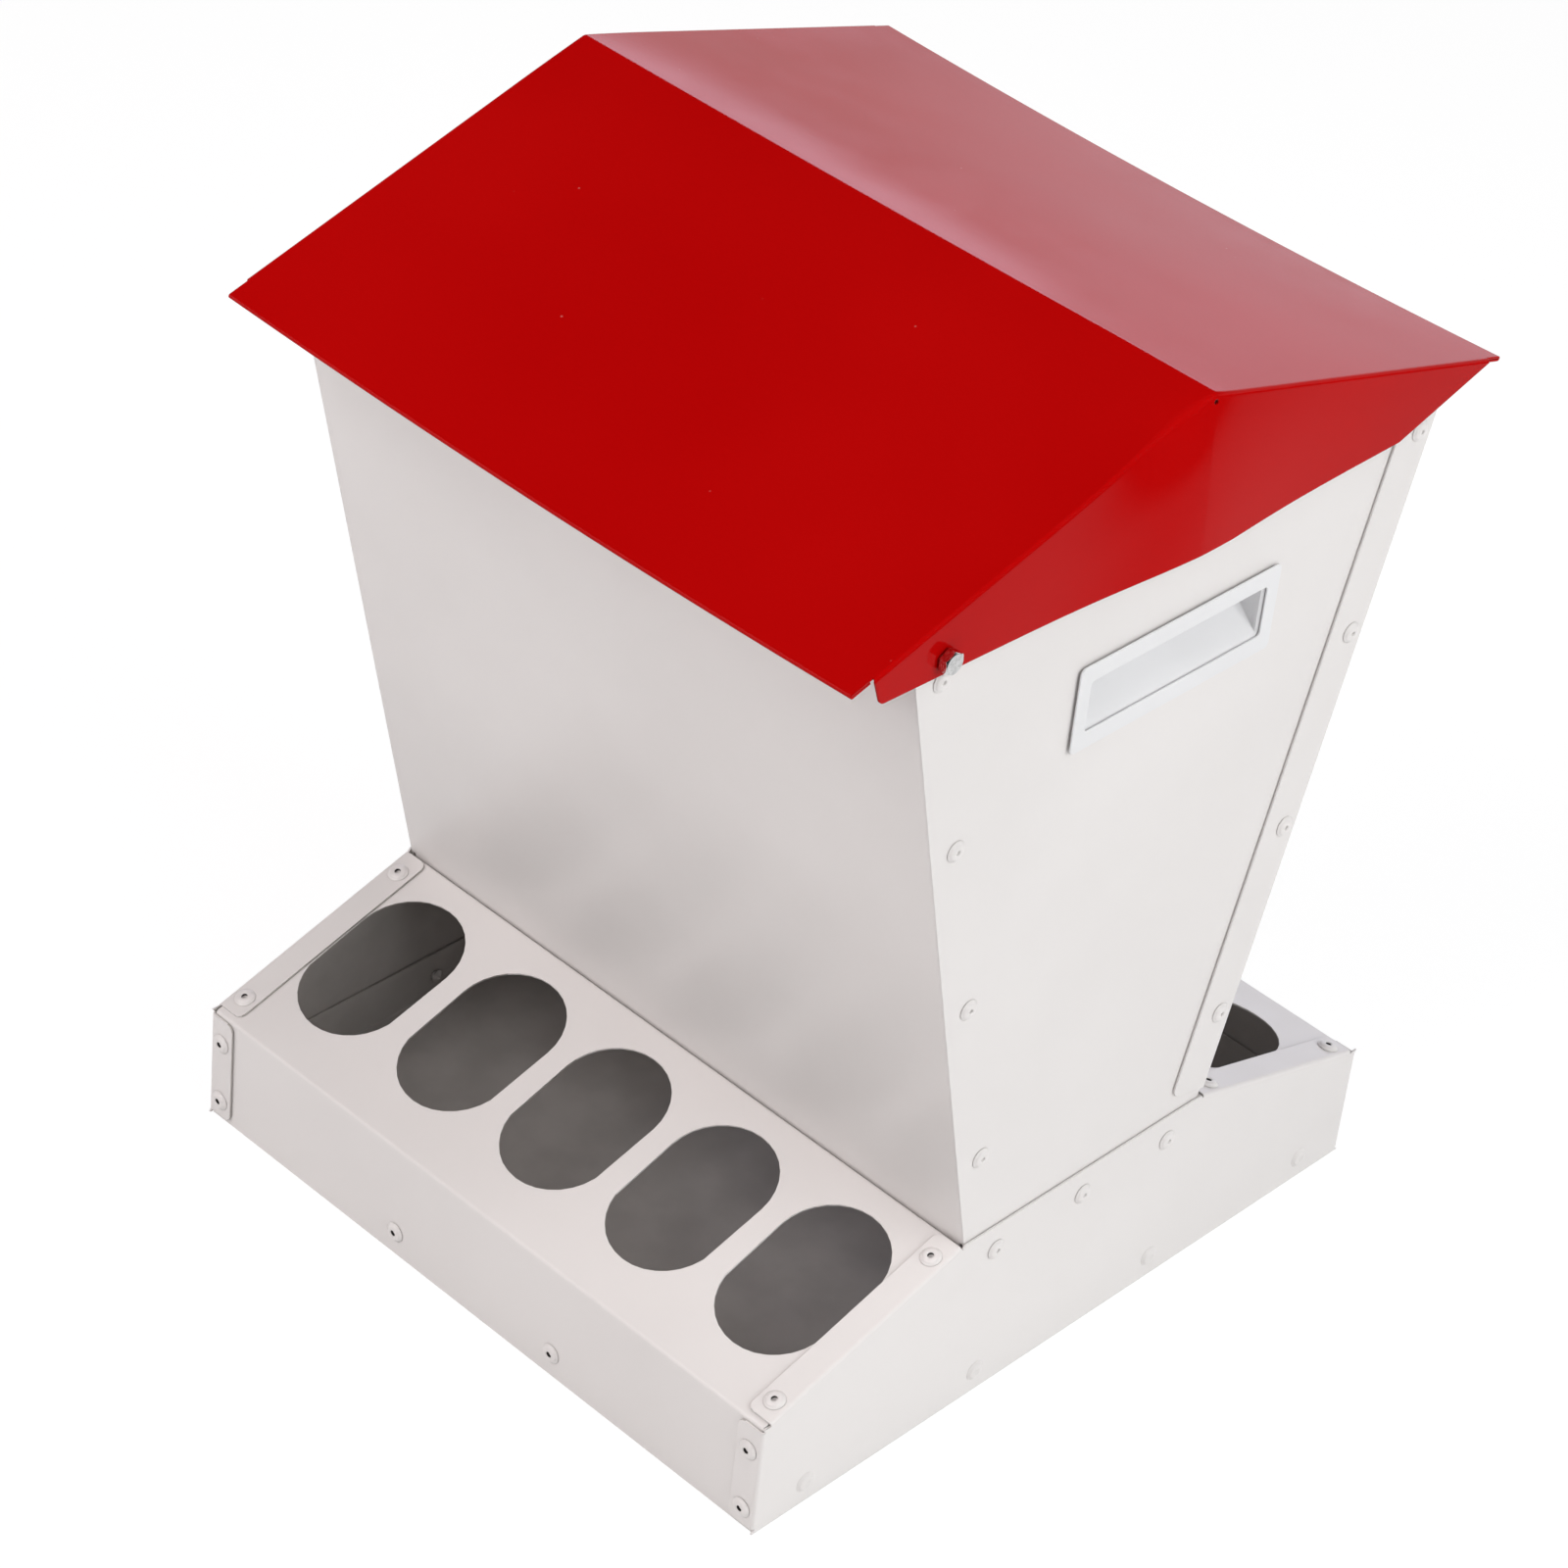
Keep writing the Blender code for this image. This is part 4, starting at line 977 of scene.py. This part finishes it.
def dress_handle(name, side):
    """Handle of one side: its frame and the finger pocket behind it."""
    node = f"handle_{name}"
    low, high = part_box(node)
    panel_face = side * (max(abs(low.x), abs(high.x)) - HANDLE_PLATE - HANDLE_GAP)
    turn = Matrix.Rotation(0 if side > 0 else math.pi, 4, "Z")
    middle = Vector((panel_face, (low.y + high.y) / 2, high.z - HANDLE_HEIGHT / 2))
    place = Matrix.Translation(middle) @ turn
    bezel_name, pocket_name = f"{node}_bezel", f"{node}_pocket"
    bezel = add_piece(bezel_name, bezel_mesh(bezel_name), "white_plastic", "feeder", place, [node])
    bezel.modifiers.new("even_shading", "WEIGHTED_NORMAL").keep_sharp = True
    pocket = add_piece(pocket_name, pocket_mesh(pocket_name), "white_plastic", "feeder", place, [node])
    wall = pocket.modifiers.new("wall", "SOLIDIFY")
    wall.thickness = POCKET_WALL
    wall.offset = -1


# Bolts and nuts

def hex_prism(name, width, height, chamfered):
    """A hexagon along Z whose corners are turned off at the ends named in chamfered."""
    radius = width / math.sqrt(3)
    body = add_tool(name, prism(name, radius, height, 6))
    flat, wide = width / 2 * CHAMFER_START, radius * CUTTER_WIDER
    drop = (radius - flat) * math.tan(CHAMFER_ANGLE) * CUTTER_DEEPER
    outline = [(0, 0)]
    outline += [(flat, 0), (wide, drop)] if "low" in chamfered else [(wide, 0)]
    outline += [(wide, height - drop), (flat, height)] if "high" in chamfered else [(wide, height)]
    outline.append((0, height))
    turned = add_tool(f"{name}_turned", lathe(f"{name}_turned", outline, CUTTER_SEGMENTS))
    combine(body, turned, "INTERSECT")
    settle(body)
    mesh = body.data
    bpy.data.objects.remove(body)
    return mesh


def dress_bolt(name, side):
    """Hinge bolt: a chamfered hexagonal head and its shank."""
    bolt = f"hinge_bolt_{name}"
    low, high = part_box(bolt)
    tip, tail = max(abs(low.x), abs(high.x)), min(abs(low.x), abs(high.x))
    middle = ((tip - HEAD_HEIGHT) * side, (low.y + high.y) / 2, (low.z + high.z) / 2)
    place = Matrix.Translation(middle) @ facing((side, 0, 0))
    head = hex_prism(f"{bolt}_head", HEAD_WIDTH, HEAD_HEIGHT, ("high",))
    length = tip - tail - HEAD_HEIGHT
    shank = prism(f"{bolt}_shank", BOLT_DIAMETER / 2, length, ROUND_SEGMENTS, -length)
    piece = add_piece(f"{bolt}_fine", head, "zinc", "feeder", place, [bolt])
    combine(piece, add_tool(f"{bolt}_shank", shank, place), "UNION")
    settle(piece)
    piece.data.set_sharp_from_angle(angle=BOLT_SHARP_ANGLE)


def dress_nut(name, side):
    """Nut inside the hopper, in line with its bolt."""
    nut = f"hinge_nut_{name}"
    low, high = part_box(nut)
    bolt_low, bolt_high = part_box(f"hinge_bolt_{name}")
    inner = max(abs(low.x), abs(high.x)) - NUT_HEIGHT
    middle = (inner * side, (bolt_low.y + bolt_high.y) / 2, (bolt_low.z + bolt_high.z) / 2)
    place = Matrix.Translation(middle) @ facing((side, 0, 0))
    mesh = hex_prism(f"{nut}_hex", HEAD_WIDTH, NUT_HEIGHT, ("low", "high"))
    radius = BOLT_DIAMETER / 2 + NUT_PLAY
    bore = prism(f"{nut}_bore", radius, 3 * NUT_HEIGHT, ROUND_SEGMENTS, -NUT_HEIGHT)
    piece = add_piece(f"{nut}_fine", mesh, "zinc", "feeder", place, [nut])
    combine(piece, add_tool(f"{nut}_bore", bore, place), "DIFFERENCE")
    settle(piece)
    piece.data.set_sharp_from_angle(angle=BOLT_SHARP_ANGLE)


# Stage, light and camera

FLOOR_SIZE = 12.0
FLOOR_GREY = 0.78
FLOOR_WHITE = 1.03
FLOOR_SHADOW = 0.20  # share of the floor's seen white that its light makes, and shadows take away
FLOOR_LIGHT = 0.8  # share of that which the light gives where no shadow falls
FLOOR_SWEEP = (0.45, 0.74)  # in gloss, the floor dims to the right between these places
WALL_SWEEP = (0.60, 0.80)  # and the wall between these directions
SWEEP_DIMMING = 0.97
WALL_WHITE = 1.02
WALL_LIGHT = 0.30
WALL_TOP = (0.30, 0.46)  # heights between which the wall gives way to the ceiling
CEILING_LIGHT = 0.05
PANEL_COLOUR = (0.80, 0.80, 1.0)
PANEL_GLOW = (0.22, 0.90)  # from the panel's left to its right
PANEL_GLOW_RUN = (-0.61, -0.49)
PANEL_BAND = 2.30  # more, from the height that the eased ridge mirrors
PANEL_BAND_RISE = (0.05, 0.12)
PANEL_BAND_END = (-0.53, -0.45)
PANEL_START = (-0.95, -0.70)  # its left end fades in, and its right end out
PANEL_END = (-0.25, 0.10)
PANEL_BEHIND = (0.2, 0.5)
LIGHT_AIM = (0, 0, 0.20)

# name, direction from the object, distance, size, watts, colour, whether gloss shows it
SOFTBOXES = (
    ("right_softbox", (0.88, 0.08, 0.45), 2.2, (2.0, 2.0), 34.5, (0.985, 1.0, 1.0), False),
    ("front_softbox", (-0.24, -0.71, 0.66), 2.0, (1.8, 1.5), 28.0, (1.0, 0.950, 0.945), True),
    ("top_softbox", (0.30, 0.25, 0.92), 2.1, (1.8, 1.8), 10.5, (1.0, 1.0, 1.0), False),
)


def grey(value):
    return (value, value, value)


def sweep(tree, across, window):
    """Share by which gloss sees a white darker, to the right of the object and out of the picture."""
    in_gloss = tree.add("ShaderNodeLightPath").outputs["Is Glossy Ray"]
    return tree.math("MULTIPLY", in_gloss, tree.spread(across, 0.0, SWEEP_DIMMING, *window))


def seen_by_eye(tree):
    """1 where the floor or wall itself is seen, straight, in gloss or through glass."""
    path = tree.add("ShaderNodeLightPath")
    straight = tree.math("MAXIMUM", path.outputs["Is Camera Ray"], path.outputs["Is Glossy Ray"])
    return tree.math("MAXIMUM", straight, path.outputs["Is Transmission Ray"])


def build_floor():
    """A pale floor that the eye sees as white as the wall, but for soft shadows."""
    bm = bmesh.new()
    bmesh.ops.create_grid(bm, x_segments=1, y_segments=1, size=FLOOR_SIZE / 2)
    mesh = bpy.data.meshes.new("floor")
    bm.to_mesh(mesh)
    bm.free()
    floor = bpy.data.objects.new("floor", mesh)
    floor.location.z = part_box("bottom_pan")[0].z
    bpy.context.scene.collection.objects.link(floor)
    material = bpy.data.materials.new("pale_floor")
    tree = Tree(material)
    plain = tree.add("ShaderNodeBsdfDiffuse", Color=(*grey(FLOOR_GREY), 1))
    place = tree.add("ShaderNodeNewGeometry").outputs["Position"]
    across = tree.add("ShaderNodeSeparateXYZ", Vector=place).outputs["X"]
    lit = tree.math("SUBTRACT", 1.0, sweep(tree, across, FLOOR_SWEEP))
    strength = tree.math("MULTIPLY", lit, FLOOR_WHITE - FLOOR_SHADOW * FLOOR_LIGHT)
    glow = tree.add("ShaderNodeEmission", Color=(1, 1, 1, 1), Strength=strength)
    pale = tree.add("ShaderNodeBsdfDiffuse", Color=tree.math("MULTIPLY", lit, FLOOR_SHADOW))
    seen = tree.add("ShaderNodeAddShader", i0=pale.outputs[0], i1=glow.outputs[0])
    mix = tree.add(
        "ShaderNodeMixShader", i0=seen_by_eye(tree), i1=plain.outputs[0], i2=seen.outputs[0],
    )
    output = tree.add("ShaderNodeOutputMaterial")
    tree.plug(output, "Surface", mix.outputs[0])
    mesh.materials.append(material)


def panel_light(tree, axes, wall):
    """Strength of a lit panel low behind the left side, brighter to its right."""
    glow = tree.spread(axes["X"], *PANEL_GLOW, *PANEL_GLOW_RUN)
    band = tree.math(
        "MULTIPLY", tree.spread(axes["Z"], 0, PANEL_BAND, *PANEL_BAND_RISE),
        tree.spread(axes["X"], 1, 0, *PANEL_BAND_END),
    )
    start = tree.spread(axes["X"], 0, 1, *PANEL_START)
    end = tree.spread(axes["X"], 1, 0, *PANEL_END)
    behind = tree.math("MULTIPLY", tree.spread(axes["Y"], 0, 1, *PANEL_BEHIND), wall)
    place = tree.math("MULTIPLY", tree.math("MULTIPLY", start, end), behind)
    return tree.math("MULTIPLY", tree.math("ADD", glow, band), place)


def build_world():
    """A studio with pale walls, a dark ceiling and a lit panel."""
    world = bpy.data.worlds.new("studio")
    bpy.context.scene.world = world
    tree = Tree(world)
    direction = tree.add("ShaderNodeTexCoord").outputs["Generated"]
    axes = tree.add("ShaderNodeSeparateXYZ", Vector=direction).outputs
    wall = tree.spread(axes["Z"], 1.0, 0.0, *WALL_TOP)
    white = tree.mix(sweep(tree, axes["X"], WALL_SWEEP), grey(WALL_WHITE), grey(0.0))
    plain = tree.mix(seen_by_eye(tree), grey(WALL_LIGHT), white)
    room = tree.mix(wall, grey(CEILING_LIGHT), plain)
    base = tree.add("ShaderNodeBackground", Color=room, Strength=1.0)
    panel = panel_light(tree, axes, wall)
    lit = tree.add("ShaderNodeBackground", Color=(*PANEL_COLOUR, 1), Strength=panel)
    both = tree.add("ShaderNodeAddShader", i0=base.outputs[0], i1=lit.outputs[0])
    output = tree.add("ShaderNodeOutputWorld")
    tree.plug(output, "Surface", both.outputs[0])


def build_lights():
    """Three plain softboxes, aimed at the middle of the object."""
    aim = Vector(LIGHT_AIM)
    for name, direction, distance, size, watts, colour, in_gloss in SOFTBOXES:
        data = bpy.data.lights.new(name, "AREA")
        data.shape = "RECTANGLE"
        data.size, data.size_y = size
        data.energy = watts
        data.color = colour
        lamp = bpy.data.objects.new(name, data)
        lamp.visible_glossy = in_gloss
        outward = Vector(direction).normalized()
        lamp.location = aim + outward * distance
        lamp.rotation_mode = "QUATERNION"
        lamp.rotation_quaternion = outward.to_track_quat("Z", "Y")
        bpy.context.scene.collection.objects.link(lamp)


def build_camera():
    """The photo's camera, by its place, azimuth, elevation and roll."""
    data = bpy.data.cameras.new("camera")
    data.lens = CAMERA_LENS
    data.sensor_width = CAMERA_SENSOR
    data.clip_start, data.clip_end = CAMERA_CLIP
    camera = bpy.data.objects.new("camera", data)
    a, e = CAMERA_AZIMUTH, CAMERA_ELEVATION
    back = Vector((math.sin(a) * math.cos(e), -math.cos(a) * math.cos(e), math.sin(e)))
    right = Vector((math.cos(a), math.sin(a), 0))
    up = back.cross(right)
    axes = Matrix((right, up, back)).transposed().to_4x4()
    camera.matrix_world = Matrix.Translation(CAMERA_PLACE) @ axes @ Matrix.Rotation(CAMERA_ROLL, 4, "Z")
    bpy.context.scene.collection.objects.link(camera)
    bpy.context.scene.camera = camera


bpy.context.scene.view_settings.view_transform = "Standard"
build_camera()
build_world()
build_lights()
build_floor()
dress_frame()
dress_lid()
dress_rivets()
dress_base_rivets()
for side_name, side in SIDE_NAMES:
    dress_corner(side_name, side)
    dress_handle(side_name, side)
    dress_bolt(side_name, side)
    dress_nut(side_name, side)
